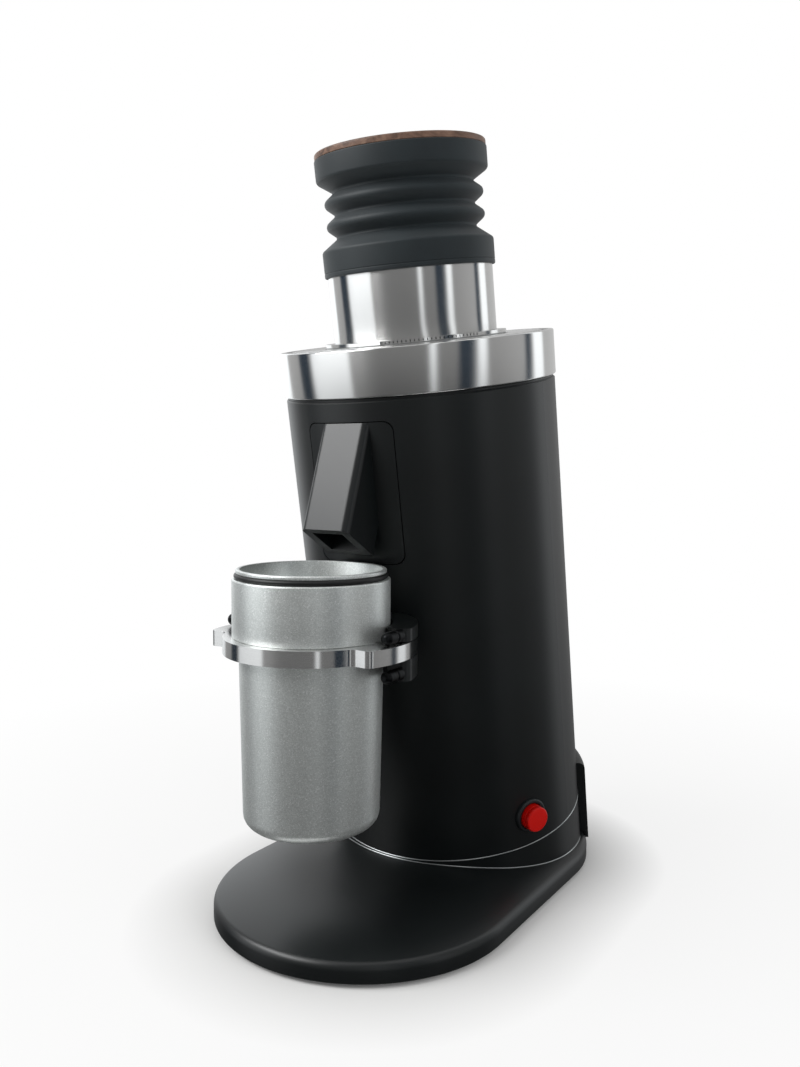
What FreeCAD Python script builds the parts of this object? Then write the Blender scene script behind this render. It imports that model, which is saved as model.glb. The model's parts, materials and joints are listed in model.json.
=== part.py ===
import FreeCAD, Part
import math
import os
import Sketcher
from FreeCAD import Placement, Rotation, Vector

os.makedirs("parts", exist_ok=True)
doc = FreeCAD.newDocument("burr_coffee_grinder")
sheet = doc.addObject("Spreadsheet::Sheet", "Sizes")

# Driving sizes in millimetres, angles in degrees
driving_sizes = [
    # Stance: the body leans forward over the cup
    ("lean", 10.4),
    ("axis_back", 41.7),
    ("plinth_front", 0.65),
    ("nose_reach", 75.8),
    # Foot plate, a low pillow with a round nose and a round tail
    ("foot_margin", 4.5),
    ("foot_edge", 7.4),
    ("foot_crown", 14.0),
    ("crown_flat", 20.0),
    ("foot_chamfer", 0.8),
    ("pad_stand", 1.5),
    ("pad_recess", 1.5),
    ("pad_radius", 9.0),
    ("pad_inset", 16.0),
    # Shell, plinth and chassis
    ("body_radius", 59.0),
    ("shell_wall", 3.0),
    ("shell_length", 198.4),
    ("shell_chamfer", 0.6),
    ("plinth_wall", 11.0),
    ("chassis_height", 5.0),
    ("cable_hole", 12.0),
    ("chassis_screw_inset", 1.0),
    # Clearances
    ("seat_gap", 0.1),
    ("face_gap", 0.3),
    ("run_gap", 0.05),
    ("slide_gap", 0.25),
    # Small fasteners
    ("screw_radius", 2.0),
    ("screw_head_radius", 3.6),
    ("screw_head_height", 2.6),
    ("small_screw_radius", 1.5),
    ("small_head_radius", 2.8),
    ("small_head_height", 1.8),
    ("base_screw_grip", 8.0),
    ("chassis_screw_grip", 7.0),
    ("rod_radius", 2.0),
    ("rod_grip", 10.0),
    # Motor
    ("motor_level", 41.8),
    ("rod_space", 6.0),
    ("bell_height", 27.6),
    ("bell_plate", 7.6),
    ("bell_rim", 4.0),
    ("bell_bore_gap", 0.4),
    ("bolt_head_height", 0.8),
    ("stator_depth", 21.0),
    ("rotor_gap", 0.5),
    ("rotor_step", 2.0),
    ("winding_height", 11.0),
    ("winding_depth", 12.0),
    ("winding_gap", 3.0),
    ("bearing_radius", 11.0),
    ("bearing_bore", 4.0),
    ("bearing_height", 7.0),
    ("bearing_lip", 2.6),
    ("race_wall", 2.0),
    ("hub_wall", 4.0),
    ("shaft_radius", 8.0),
    ("fan_radius", 40.0),
    ("fan_height", 7.6),
    ("fan_plate", 1.5),
    ("fan_blade", 1.6),
    ("fan_gap", 1.0),
    ("fan_hub", 9.0),
    ("motor_bolt_inset", 3.0),
    # Electrics in the foot of the shell
    ("capacitor_radius", 11.5),
    ("capacitor_length", 46.0),
    ("capacitor_chamfer", 1.0),
    ("capacitor_inset", 18.5),
    ("capacitor_rod_gap", 2.5),
    ("clip_wall", 1.4),
    ("clip_width", 11.0),
    ("inlet_level", 17.0),
    ("inlet_half", 13.5),
    ("inlet_rise", 10.0),
    ("inlet_wall", 1.6),
    ("inlet_depth", 18.0),
    ("inlet_flange", 2.0),
    ("inlet_flange_edge", 4.5),
    ("inlet_flange_rise", 1.0),
    ("pin_length", 14.0),
    ("pin_wide", 4.0),
    ("pin_thin", 2.0),
    ("pin_spread", 7.0),
    ("housing_wall", 4.0),
    ("housing_low", 25.5),
    ("housing_high", 14.0),
    ("housing_round", 3.0),
    ("housing_half_angle", 64.0),
    ("housing_boss", 2.5),
    ("housing_boss_edge", 8.0),
    # Power button
    ("button_level", 14.0),
    ("button_angle", 64.0),
    ("button_radius", 5.5),
    ("button_stand", 4.2),
    ("button_cap", 7.0),
    ("button_groove", 0.5),
    ("button_stem", 2.4),
    ("button_travel", 2.5),
    ("bezel_radius", 7.5),
    ("bezel_height", 2.2),
    ("bezel_wall", 1.0),
    ("bezel_neck", 6.4),
    ("bezel_chamfer", 0.6),
    ("button_chamfer", 0.8),
    ("spotface", 0.8),
    ("switch_radius", 8.4),
    ("switch_length", 16.0),
    ("switch_nut_radius", 8.8),
    ("switch_nut_height", 2.6),
    ("spring_wire", 0.5),
    ("spring_pitch", 1.4),
    ("spring_end_gap", 0.1),
    # Grinding chamber
    ("chamber_drop", 41.4),
    ("chamber_floor", 8.0),
    ("chamber_flange", 0.8),
    ("chamber_flange_inset", 0.9),
    ("chamber_sweep", 1.0),
    ("ledge_width", 5.0),
    ("ledge_drop", 14.6),
    ("neck_wall", 6.0),
    ("neck_height", 11.0),
    ("port_half", 11.2),
    ("port_height", 16.4),
    ("port_low", 0.8),
    ("seal_hole", 9.0),
    # Burrs and their carriers
    ("burr_inset", 24.0),
    ("burr_bore", 19.0),
    ("burr_height", 8.0),
    ("burr_gap", 0.4),
    ("burr_slope", 2.2),
    ("carrier_margin", 8.0),
    ("carrier_lift", 2.0),
    ("lower_carrier_height", 6.0),
    ("wiper_width", 3.0),
    ("wiper_length", 9.0),
    ("upper_carrier_height", 7.0),
    ("upper_carrier_edge", 0.5),
    ("thread_inset", 5.75),
    ("throat_step", 7.4),
    ("throat_edge", 1.0),
    ("auger_radius", 12.0),
    ("auger_tip", 6.0),
    ("auger_height", 17.0),
    ("shaft_top", 12.0),
    ("guide_pin_radius", 1.5),
    ("guide_pin_seat", 6.0),
    ("guide_pin_inset", 2.6),
    ("carrier_spring_wire", 0.6),
    ("carrier_spring_turns", 3.0),
    # Adjusting dial, scale disc and hopper collar
    ("dial_margin", 0.5),
    ("dial_height", 18.7),
    ("dial_chamfer", 0.6),
    ("snap_level", 4.5),
    ("snap_height", 1.6),
    ("snap_depth", 1.5),
    ("disc_gap", 0.5),
    ("disc_inset", 0.85),
    ("disc_edge", 0.4),
    ("disc_height", 1.3),
    ("tab_length", 1.2),
    ("tab_half", 7.4),
    ("tab_angle", 1.0),
    ("collar_wall", 3.4),
    ("collar_height", 36.0),
    ("collar_chamfer", 0.6),
    ("stud_edge", 0.2),
    # Bellows, cap and wooden lid
    ("soft_wall", 1.2),
    ("cuff_overlap", 8.6),
    ("cuff_height", 10.8),
    ("cone_rise", 5.4),
    ("groove_step", 2.7),
    ("fold_step", 1.2),
    ("fold_pitch", 9.1),
    ("cap_cone", 4.5),
    ("cap_step", 0.9),
    ("cap_height", 8.5),
    ("cap_wall", 4.8),
    ("lid_inset", 0.3),
    ("lid_height", 2.6),
    ("lid_chamfer", 0.9),
    ("plug_height", 6.0),
    ("lid_seal_height", 2.0),
    ("lid_seal_depth", 1.6),
    # Chute
    ("chute_half", 11.1),
    ("chute_fall", 38.1),
    ("lip_out", 21.0),
    ("outlet_back", 16.0),
    ("outlet_drop", 13.8),
    ("chute_wall", 3.2),
    ("passage_half", 7.2),
    ("spigot_wall", 1.8),
    ("spigot_reach", 13.0),
    ("flange_half", 20.3),
    ("flange_height", 57.0),
    ("flange_drop", 8.3),
    ("flange_corner", 4.2),
    ("flange_seam", 0.35),
    ("chute_round", 3.0),
    ("screen_height", 1.0),
    ("screen_slot", 1.6),
    # Cup, its eared ring and the fork that holds it
    ("cup_radius", 30.1),
    ("cup_gap", 1.2),
    ("ring_drop", 105.64),
    ("ring_height", 6.0),
    ("cup_upper", 22.0),
    ("cup_lower_radius", 27.7),
    ("cup_foot_radius", 26.2),
    ("cup_drop", 67.3),
    ("cup_wall", 2.0),
    ("cup_floor", 2.6),
    ("cup_round", 5.0),
    ("cup_chamfer", 0.5),
    ("lip_radius", 28.6),
    ("lip_height", 1.5),
    ("seal_wire", 1.0),
    ("ring_front", 33.6),
    ("ring_rear", 32.4),
    ("shoulder_angle", 63.5),
    ("ear_angle", 67.5),
    ("ear_end_angle", 128.0),
    ("ear_round_share", 0.36),
    ("fork_gap", 0.9),
    ("jaw_width", 9.5),
    ("fork_angle", 82.0),
    ("upper_jaw", 4.8),
    ("lower_jaw", 8.2),
    ("jaw_round_share", 0.36),
    ("spine_half", 12.0),
    ("spine_gap", 0.8),
    ("spine_reach", 41.0),
    ("fork_screw_bite", 2.6),
    ("tip_radius", 2.4),
    ("tip_inset", 6.4),
    ("tip_length", 10.2),
    ("lower_tip_rise", 3.0),
    ("tip_seat", 4.0),
    ("tip_groove", 0.35),
]


class Size:
    # A number from the sheet that carries its formula, so that every use stays bound to the cell

    def __init__(self, text, value):
        self.text = text
        self.value = value

    def __add__(self, other):
        return Size("(%s + %s)" % (self.text, formula(other)), self.value + number(other))

    def __sub__(self, other):
        return Size("(%s - %s)" % (self.text, formula(other)), self.value - number(other))

    def __mul__(self, other):
        return Size("(%s * %s)" % (self.text, formula(other)), self.value * number(other))

    def __truediv__(self, other):
        return Size("(%s / %s)" % (self.text, formula(other)), self.value / number(other))

    def __neg__(self):
        return Size("(0 - %s)" % self.text, -self.value)


def formula(size):
    return size.text if isinstance(size, Size) else repr(float(size))


def number(size):
    return size.value if isinstance(size, Size) else float(size)


def root(size):
    return Size("sqrt(%s)" % size.text, math.sqrt(size.value))


def sine(angle):
    return Size("sin(%s)" % angle.text, math.sin(math.radians(angle.value)))


def cosine(angle):
    return Size("cos(%s)" % angle.text, math.cos(math.radians(angle.value)))


class Sizes:
    pass


d = Sizes()
for row, (alias, value) in enumerate(driving_sizes, start=1):
    sheet.set("A%d" % row, alias)
    sheet.set("B%d" % row, str(value))
    sheet.setAlias("B%d" % row, alias)
    setattr(d, alias, Size("Sizes.%s" % alias, value))
doc.recompute()

pieces = []


def keep(label, thing):
    # Names a finished piece and lists it for writing
    thing.Label = label
    pieces.append(thing)
    return thing


def bind(thing, prop, size):
    # Sets a property and ties it to the sheet
    setattr(thing, prop, number(size))
    if isinstance(size, Size):
        thing.setExpression(prop, size.text)


# Sketch and feature helpers

def new_body(name, frame):
    body = doc.addObject("PartDesign::Body", name)
    body.AllowCompound = True
    body.Placement = frame
    return body


def new_sketch(body, name, role="XZ_Plane", offset=None, turn=None):
    # Turn swings an upright sketch plane about the piece's Z axis, offset lifts it along its normal
    plane = [item for item in body.Origin.OriginFeatures if item.Role == role][0]
    sketch = body.newObject("Sketcher::SketchObject", name)
    sketch.AttachmentSupport = [(plane, "")]
    sketch.MapMode = "FlatFace"
    swing = Rotation(Vector(0, 1, 0), number(turn)) if turn is not None else Rotation()
    sketch.AttachmentOffset = Placement(Vector(), swing)
    if isinstance(offset, Size):
        lifts = {"z": offset}
        if turn is not None:
            lifts = {"x": offset * sine(turn), "z": offset * cosine(turn)}
        for axis, size in lifts.items():
            sketch.setExpression("AttachmentOffset.Base.%s" % axis, size.text)
    return sketch


def fix_point(sketch, geometry, end, x, y):
    # Ties one point of a sketch to its distances from the origin
    for kind, size, axis in (("DistanceX", x, -2), ("DistanceY", y, -1)):
        if not isinstance(size, Size) and size == 0:
            sketch.addConstraint(Sketcher.Constraint("PointOnObject", geometry, end, axis))
            continue
        index = sketch.addConstraint(Sketcher.Constraint(kind, -1, 1, geometry, end, number(size)))
        if isinstance(size, Size):
            sketch.setExpression("Constraints[%d]" % index, size.text)


def outline(sketch, points, arcs=None):
    # Closed outline through points; arcs maps a stretch to a radius, negative to bow to the right
    arcs = arcs or {}
    first = sketch.GeometryCount
    count = len(points)
    ends = []
    for index in range(count):
        x0, y0 = (number(size) for size in points[index])
        x1, y1 = (number(size) for size in points[(index + 1) % count])
        start, finish = Vector(x0, y0, 0), Vector(x1, y1, 0)
        if index not in arcs:
            sketch.addGeometry(Part.LineSegment(start, finish))
            ends.append((1, 2))
            continue
        radius = abs(number(arcs[index]))
        side = 1 if number(arcs[index]) > 0 else -1
        chord = finish - start
        middle = (start + finish) * 0.5
        normal = Vector(-chord.y, chord.x, 0).normalize() * side
        height = math.sqrt(max(radius ** 2 - (chord.Length / 2) ** 2, 0))
        centre = middle + normal * height
        circle = Part.Circle(centre, Vector(0, 0, 1), radius)
        low, high = (start, finish) if side > 0 else (finish, start)
        sketch.addGeometry(Part.ArcOfCircle(circle, circle.parameter(low), circle.parameter(high)))
        ends.append((1, 2) if side > 0 else (2, 1))
    for index in range(count):
        after = (index + 1) % count
        sketch.addConstraint(Sketcher.Constraint(
            "Coincident", first + index, ends[index][1], first + after, ends[after][0]))
    for index, (x, y) in enumerate(points):
        fix_point(sketch, first + index, ends[index][0], x, y)
    for index, size in arcs.items():
        bow = size if number(size) > 0 else -size
        entry = sketch.addConstraint(Sketcher.Constraint("Radius", first + index, number(bow)))
        if isinstance(bow, Size):
            sketch.setExpression("Constraints[%d]" % entry, bow.text)


def circles(sketch, places, radius):
    for x, y in places:
        index = sketch.addGeometry(Part.Circle(Vector(number(x), number(y), 0), Vector(0, 0, 1), number(radius)))
        fix_point(sketch, index, 3, x, y)
        entry = sketch.addConstraint(Sketcher.Constraint("Radius", index, number(radius)))
        if isinstance(radius, Size):
            sketch.setExpression("Constraints[%d]" % entry, radius.text)


def rectangle(x_low, y_low, x_high, y_high):
    return [(x_low, y_low), (x_high, y_low), (x_high, y_high), (x_low, y_high)]


def rounded(x_half, y_low, y_high, corner):
    # Corner points and arcs of a rectangle with round corners, centred on x = 0
    points = [
        (-x_half + corner, y_low), (x_half - corner, y_low),
        (x_half, y_low + corner), (x_half, y_high - corner),
        (x_half - corner, y_high), (-x_half + corner, y_high),
        (-x_half, y_high - corner), (-x_half, y_low + corner),
    ]
    return points, {1: corner, 3: corner, 5: corner, 7: corner}


def polar(radius, angle):
    # Place on a circle, the angle counted from the front towards +X
    x, y = math.sin(math.radians(angle)), -math.cos(math.radians(angle))
    return tuple(radius * round(part, 9) if abs(part) > 1e-9 else 0 for part in (x, y))


def pad(body, sketch, length, reverse=False, both=False):
    feature = body.newObject("PartDesign::Pad", sketch.Name + "_pad")
    feature.Profile = sketch
    bind(feature, "Length", length)
    feature.Reversed = reverse
    feature.Midplane = both
    return feature


def pocket(body, sketch, length, reverse=True, both=False):
    feature = body.newObject("PartDesign::Pocket", sketch.Name + "_pocket")
    feature.Profile = sketch
    bind(feature, "Length", length)
    feature.Reversed = reverse
    feature.Midplane = both
    return feature


def turned(name, frame, points, arcs=None):
    # Piece of revolution about its Z axis from an outline of radius and height
    body = new_body(name, frame)
    sketch = new_sketch(body, name + "_outline")
    outline(sketch, points, arcs)
    revolve(body, sketch)
    return body


def revolve(body, sketch, angle=360.0):
    feature = body.newObject("PartDesign::Revolution", sketch.Name + "_turned")
    feature.Profile = sketch
    feature.ReferenceAxis = (sketch, ["V_Axis"])
    bind(feature, "Angle", angle)
    return feature


def around(body, feature, count):
    # Repeats a feature round the piece's Z axis
    axis = [item for item in body.Origin.OriginFeatures if item.Role == "Z_Axis"][0]
    pattern = body.newObject("PartDesign::PolarPattern", feature.Name + "_around")
    pattern.Originals = [feature]
    pattern.Axis = (axis, [""])
    pattern.Angle = 360.0
    pattern.Occurrences = count
    body.Tip = pattern
    return pattern


def drill(body, name, places, radius, low, depth):
    # Holes along +Z from a level
    sketch = new_sketch(body, name, "XY_Plane", low)
    circles(sketch, places, radius)
    return pocket(body, sketch, depth)


def soften(body, name, radius, wanted):
    # Rounds the edges of the finished solid that a test picks out
    doc.recompute()
    base = body.Tip
    names = ["Edge%d" % (index + 1) for index, edge in enumerate(base.Shape.Edges) if wanted(edge)]
    feature = body.newObject("PartDesign::Fillet", name)
    feature.Base = (base, names)
    bind(feature, "Radius", radius)
    return feature


def upright_edge(edge, places):
    # True for a straight edge along Z that stands at one of the places
    if edge.Curve.TypeId != "Part::GeomLine" or abs(edge.tangentAt(edge.FirstParameter).z) < 0.999:
        return False
    middle = edge.CenterOfMass
    return any(math.hypot(middle.x - number(x), middle.y - number(y)) < 0.05 for x, y in places)


def cylinder(name, frame, radius, height):
    thing = doc.addObject("Part::Cylinder", name)
    bind(thing, "Radius", radius)
    bind(thing, "Height", height)
    thing.Placement = frame
    return thing


def cut(name, base, tool):
    thing = doc.addObject("Part::Cut", name)
    thing.Base = base
    thing.Tool = tool
    return thing


def common(name, base, tool):
    thing = doc.addObject("Part::Common", name)
    thing.Base = base
    thing.Tool = tool
    return thing


def fuse(name, things):
    thing = doc.addObject("Part::MultiFuse", name)
    thing.Shapes = things
    return thing


def group(name, things):
    thing = doc.addObject("Part::Compound", name)
    thing.Links = things
    return thing


def shift(x=0.0, y=0.0, z=0.0):
    return Placement(Vector(number(x), number(y), number(z)), Rotation())


def screws(name, frame, places, level, grip, radius, head_radius, head_height):
    # Pan-headed screws: heads above a level, shanks below it
    body = new_body(name, frame)
    heads = new_sketch(body, name + "_heads", "XY_Plane", level)
    circles(heads, places, head_radius)
    pad(body, heads, head_height)
    shanks = new_sketch(body, name + "_shanks", "XY_Plane", level)
    circles(shanks, places, radius)
    pad(body, shanks, grip, reverse=True)
    return keep(name, body)


# Values that several pieces share
lean_sine, lean_cosine = sine(d.lean), cosine(d.lean)
crown_top = d.pad_stand + d.foot_crown
rim_height = crown_top + d.plinth_front + d.body_radius * lean_sine
foot_radius = d.body_radius + d.foot_margin
shell_inner = d.body_radius - d.shell_wall
plinth_inner = d.body_radius - d.plinth_wall
chassis_radius = shell_inner - d.face_gap
stator_radius = shell_inner - d.rod_space
rod_circle = (stator_radius + shell_inner) / 2

upright = shift(0, d.axis_back, 0)
leaning = Placement(Vector(0, number(d.axis_back), number(rim_height)), Rotation(Vector(1, 0, 0), d.lean.value))


def facing(angle, level):
    # Frame whose Z points out of the body at an angle from the front, with Y up along the body
    swing = Placement(Vector(0, 0, number(level)), Rotation(Vector(0, 0, 1), number(angle)))
    return leaning.multiply(swing).multiply(Placement(Vector(), Rotation(Vector(1, 0, 0), 90)))


rod_angles = (45, 125, 235, 315)
chassis_screw_angles = (90, 155, 205, 270)
base_screw_angles = (97, 140, 220, 263)

# Levels along the leaning axis, counted from the shell's lower rim
chamber_low = d.shell_length - d.chamber_drop
floor_top = chamber_low + d.chamber_floor
bell_low = d.motor_level
stator_low = bell_low + d.bell_height
stator_high = chamber_low - d.bell_height
lower_bearing = bell_low + d.bearing_lip
upper_bearing = chamber_low - d.bearing_lip - d.bearing_height
fan_high = bell_low - d.fan_gap
fan_low = fan_high - d.fan_height
carrier_low = floor_top + d.carrier_lift
lower_burr_low = carrier_low + d.lower_carrier_height
upper_burr_low = lower_burr_low + d.burr_height + d.burr_gap
upper_carrier_low = upper_burr_low + d.burr_height
flange_top = d.shell_length + d.chamber_flange
neck_top = flange_top + d.neck_height
dial_low = flange_top + d.face_gap
dial_top = dial_low + d.dial_height
disc_low = dial_top + d.disc_gap
collar_low = disc_low + d.disc_height
collar_top = collar_low + d.collar_height
cuff_low = collar_top - d.cuff_overlap
cuff_top = cuff_low + d.cuff_height

# Radii of the grinding parts and of the hopper above them
burr_radius = shell_inner - d.burr_inset
lower_carrier_radius = burr_radius + d.carrier_margin
sweep_radius = lower_carrier_radius + d.chamber_sweep
neck_inner = sweep_radius + d.ledge_width
neck_outer = neck_inner + d.neck_wall
chamber_radius = shell_inner - d.face_gap
ledge_level = d.shell_length - d.ledge_drop
guide_circle = neck_inner - d.guide_pin_inset
thread_radius = neck_inner - d.thread_inset
disc_radius = thread_radius - d.disc_inset
throat_radius = disc_radius - d.throat_step
collar_radius = throat_radius + d.collar_wall
groove_radius = throat_radius - d.groove_step
fold_radius = collar_radius - d.fold_step
cap_radius = collar_radius + d.cap_step

# Place of the cup in front of the leaning shell
ring_level = rim_height + d.shell_length * lean_cosine - d.ring_drop
shoulder_level = ring_level + d.ring_height + d.cup_upper
cup_reach = ((shoulder_level - rim_height) * lean_sine / lean_cosine + d.body_radius / lean_cosine
             + d.cup_gap + d.cup_radius)
cup_frame = shift(0, d.axis_back - cup_reach, 0)


# Foot plate: one cross-section padded from tail to nose and turned at both ends
foot_form = new_body("foot_form", shift(0, d.axis_back, d.pad_stand))
crown_drop = d.foot_crown - d.foot_edge
crown_width = foot_radius - d.crown_flat
crown_bow = (crown_width * crown_width + crown_drop * crown_drop) / (crown_drop * 2)
half_section = [
    (0, 0), (foot_radius - d.foot_chamfer, 0), (foot_radius, d.foot_chamfer),
    (foot_radius, d.foot_edge), (d.crown_flat, d.foot_crown), (0, d.foot_crown),
]
section = new_sketch(foot_form, "foot_section")
outline(section, half_section[1:5] + [(-x, y) for x, y in reversed(half_section[1:5])],
        {2: crown_bow, 4: crown_bow})
pad(foot_form, section, d.nose_reach)
for name, offset in (("foot_tail", None), ("foot_nose", d.nose_reach)):
    end = new_sketch(foot_form, name, offset=offset)
    outline(end, half_section, {3: crown_bow})
    revolve(foot_form, end)

pad_side = foot_radius - d.pad_inset - d.pad_radius
pad_places = [(side, y) for y in (pad_side * 0.5, -d.nose_reach - pad_side * 0.5)
              for side in (pad_side * 0.85, pad_side * -0.85)]
base_circle = (plinth_inner + d.body_radius) / 2
base_places = [polar(base_circle, angle) for angle in base_screw_angles]
base_counterbore = d.screw_head_height + d.face_gap
foot_holes = new_body("foot_holes", shift(0, d.axis_back, d.pad_stand))
for name, places, radius, depth in (
        ("pad_recesses", pad_places, d.pad_radius + d.seat_gap, d.pad_recess),
        ("base_counterbores", base_places, d.screw_head_radius + d.face_gap, base_counterbore),
        ("base_holes", base_places, d.screw_radius + d.seat_gap, d.foot_crown)):
    holes = new_sketch(foot_holes, name, "XY_Plane")
    circles(holes, places, radius)
    pad(foot_holes, holes, depth)
keep("foot_plate", cut("foot_plate", foot_form, foot_holes))

rubber_feet = new_body("rubber_feet", upright)
feet = new_sketch(rubber_feet, "feet", "XY_Plane")
circles(feet, pad_places, d.pad_radius)
pad(rubber_feet, feet, d.pad_stand + d.pad_recess)
keep("rubber_feet", rubber_feet)

# Plinth: a wedge of leaning tube that stands on the crowned foot
plinth_depth = d.body_radius
plinth_tube = turned("plinth_tube", leaning, rectangle(plinth_inner, -plinth_depth, d.body_radius, 0))
drill(plinth_tube, "chassis_screw_holes", [polar(rod_circle - d.chassis_screw_inset, angle) for angle in chassis_screw_angles],
      d.screw_radius, -d.chassis_screw_grip, d.chassis_screw_grip)
plinth_space = cylinder("plinth_space", shift(0, d.axis_back, d.pad_stand + d.foot_edge), d.body_radius * 2,
                        d.body_radius * 2)
plinth_wedge = cut("plinth_wedge", common("plinth_part", plinth_tube, plinth_space), foot_form)
base_drills = new_body("base_drills", shift(0, d.axis_back, d.pad_stand + base_counterbore))
drill_sketch = new_sketch(base_drills, "base_drill_circles", "XY_Plane")
circles(drill_sketch, base_places, d.screw_radius)
base_screw_length = d.foot_crown - base_counterbore + d.base_screw_grip
pad(base_drills, drill_sketch, base_screw_length)
keep("plinth", cut("plinth", plinth_wedge, base_drills))
under_foot = Placement(Vector(0, number(d.axis_back), number(d.pad_stand + base_counterbore)),
                       Rotation(Vector(1, 0, 0), 180))
screws("base_screws", under_foot, [(x, -y) for x, y in base_places], 0, base_screw_length,
       d.screw_radius, d.screw_head_radius, d.screw_head_height)

# Chassis plate inside the shell's lower rim
chassis_plate = turned("chassis_plate", leaning, rectangle(d.cable_hole, 0, chassis_radius, d.chassis_height))
chassis_places = [polar(rod_circle - d.chassis_screw_inset, angle) for angle in chassis_screw_angles]
rod_places = [polar(rod_circle, angle) for angle in rod_angles]
drill(chassis_plate, "chassis_holes", chassis_places, d.screw_radius + d.seat_gap, 0, d.chassis_height)
drill(chassis_plate, "rod_seats", rod_places, d.rod_radius, 0, d.chassis_height)
keep("chassis_plate", chassis_plate)
screws("chassis_screws", leaning, chassis_places, d.chassis_height, d.chassis_height + d.chassis_screw_grip,
       d.screw_radius, d.screw_head_radius, d.screw_head_height)

tie_rods = new_body("tie_rods", leaning)
rods = new_sketch(tie_rods, "rods", "XY_Plane", d.face_gap)
circles(rods, rod_places, d.rod_radius)
pad(tie_rods, rods, chamber_low + d.rod_grip - d.face_gap * 2)
keep("tie_rods", tie_rods)

# Body shell with its openings for chute, button, inlet and fork screws
flange_high = d.shell_length - d.flange_drop
flange_low = flange_high - d.flange_height
body_shell = turned("body_shell", leaning, [
    (shell_inner, 0), (d.body_radius - d.shell_chamfer, 0), (d.body_radius, d.shell_chamfer),
    (d.body_radius, d.shell_length - d.shell_chamfer), (d.body_radius - d.shell_chamfer, d.shell_length),
    (shell_inner, d.shell_length),
])
window = new_sketch(body_shell, "chute_window")
outline(window, *rounded(d.flange_half + d.flange_seam, flange_low - d.flange_seam,
                         flange_high + d.flange_seam, d.flange_corner))
pocket(body_shell, window, d.body_radius * 1.1)
inlet_hole = new_sketch(body_shell, "inlet_hole", turn=180)
outline(inlet_hole, rectangle(-d.inlet_half - d.face_gap, d.inlet_level - d.inlet_rise - d.face_gap,
                              d.inlet_half + d.face_gap, d.inlet_level + d.inlet_rise + d.face_gap))
pocket(body_shell, inlet_hole, d.body_radius * 1.1)
button_hole = new_sketch(body_shell, "button_hole", turn=d.button_angle)
bezel_bore = d.button_radius + d.face_gap
neck_radius = bezel_bore + d.bezel_wall
circles(button_hole, [(0, d.button_level)], neck_radius + d.seat_gap)
pocket(body_shell, button_hole, d.body_radius * 1.1)
spot = new_sketch(body_shell, "button_spotface", offset=d.body_radius - d.spotface, turn=d.button_angle)
circles(spot, [(0, d.button_level)], d.bezel_radius + d.seat_gap)
pocket(body_shell, spot, d.spotface * 4)

# Fork levels: the jaws clasp the ring's ears from above and below
upper_jaw_low = ring_level + d.ring_height + d.slide_gap
lower_jaw_high = ring_level - d.slide_gap
lower_jaw_low = lower_jaw_high - d.lower_jaw
upper_jaw_high = upper_jaw_low + d.upper_jaw


def front_level(height):
    # Level on the shell's front line at a height above the table
    return (height - rim_height + d.body_radius * lean_sine) / lean_cosine


fork_screw_levels = [front_level(upper_jaw_low + d.upper_jaw / 2), front_level(lower_jaw_low + d.lower_jaw / 2)]
fork_holes = new_sketch(body_shell, "fork_holes")
circles(fork_holes, [(0, level) for level in fork_screw_levels], d.screw_radius + d.seat_gap)
pocket(body_shell, fork_holes, d.body_radius * 1.1)
keep("body_shell", body_shell)

# Rear housing that carries the mains inlet
housing_radius = d.body_radius + d.housing_wall
housing_inner = d.body_radius + d.seat_gap
inlet_housing = new_body("housing_body", leaning)
housing_section = new_sketch(inlet_housing, "housing_section", turn=90 - d.housing_half_angle.value)
outline(housing_section, [
    (housing_inner, -d.housing_low), (housing_radius, -d.housing_low),
    (housing_radius, d.housing_high - d.housing_round), (housing_radius - d.housing_round, d.housing_high),
    (housing_inner, d.housing_high),
], {2: d.housing_round})
revolve(inlet_housing, housing_section, d.housing_half_angle * 2)
boss_face = housing_radius + d.housing_boss
boss_high = d.inlet_level + d.inlet_rise + d.housing_boss_edge
boss = new_sketch(inlet_housing, "inlet_boss", turn=180)
outline(boss, *rounded(d.inlet_half + d.housing_boss_edge, d.inlet_level - d.inlet_rise - d.housing_boss_edge,
                       boss_high, d.flange_corner))
pad(inlet_housing, boss, boss_face)
clear_core = new_sketch(inlet_housing, "housing_core", "XY_Plane", -d.housing_low)
circles(clear_core, [(0, 0)], housing_inner)
pocket(inlet_housing, clear_core, d.housing_low + boss_high)
socket_hole = new_sketch(inlet_housing, "socket_hole", turn=180)
outline(socket_hole, rectangle(-d.inlet_half - d.seat_gap, d.inlet_level - d.inlet_rise - d.seat_gap,
                               d.inlet_half + d.seat_gap, d.inlet_level + d.inlet_rise + d.seat_gap))
pocket(inlet_housing, socket_hole, d.body_radius * 1.3)
inlet_screw_side = d.inlet_half + d.inlet_flange_edge
inlet_screw_places = [(inlet_screw_side, 0), (-inlet_screw_side, 0)]
inlet_screw_grip = d.housing_wall + d.housing_boss - d.seat_gap
screw_hole = new_sketch(inlet_housing, "inlet_screw_holes", turn=180)
circles(screw_hole, [(x, d.inlet_level) for x, y in inlet_screw_places], d.small_screw_radius)
pocket(inlet_housing, screw_hole, d.body_radius * 1.3)
keep("inlet_housing", cut("inlet_housing", inlet_housing, foot_form))

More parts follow.
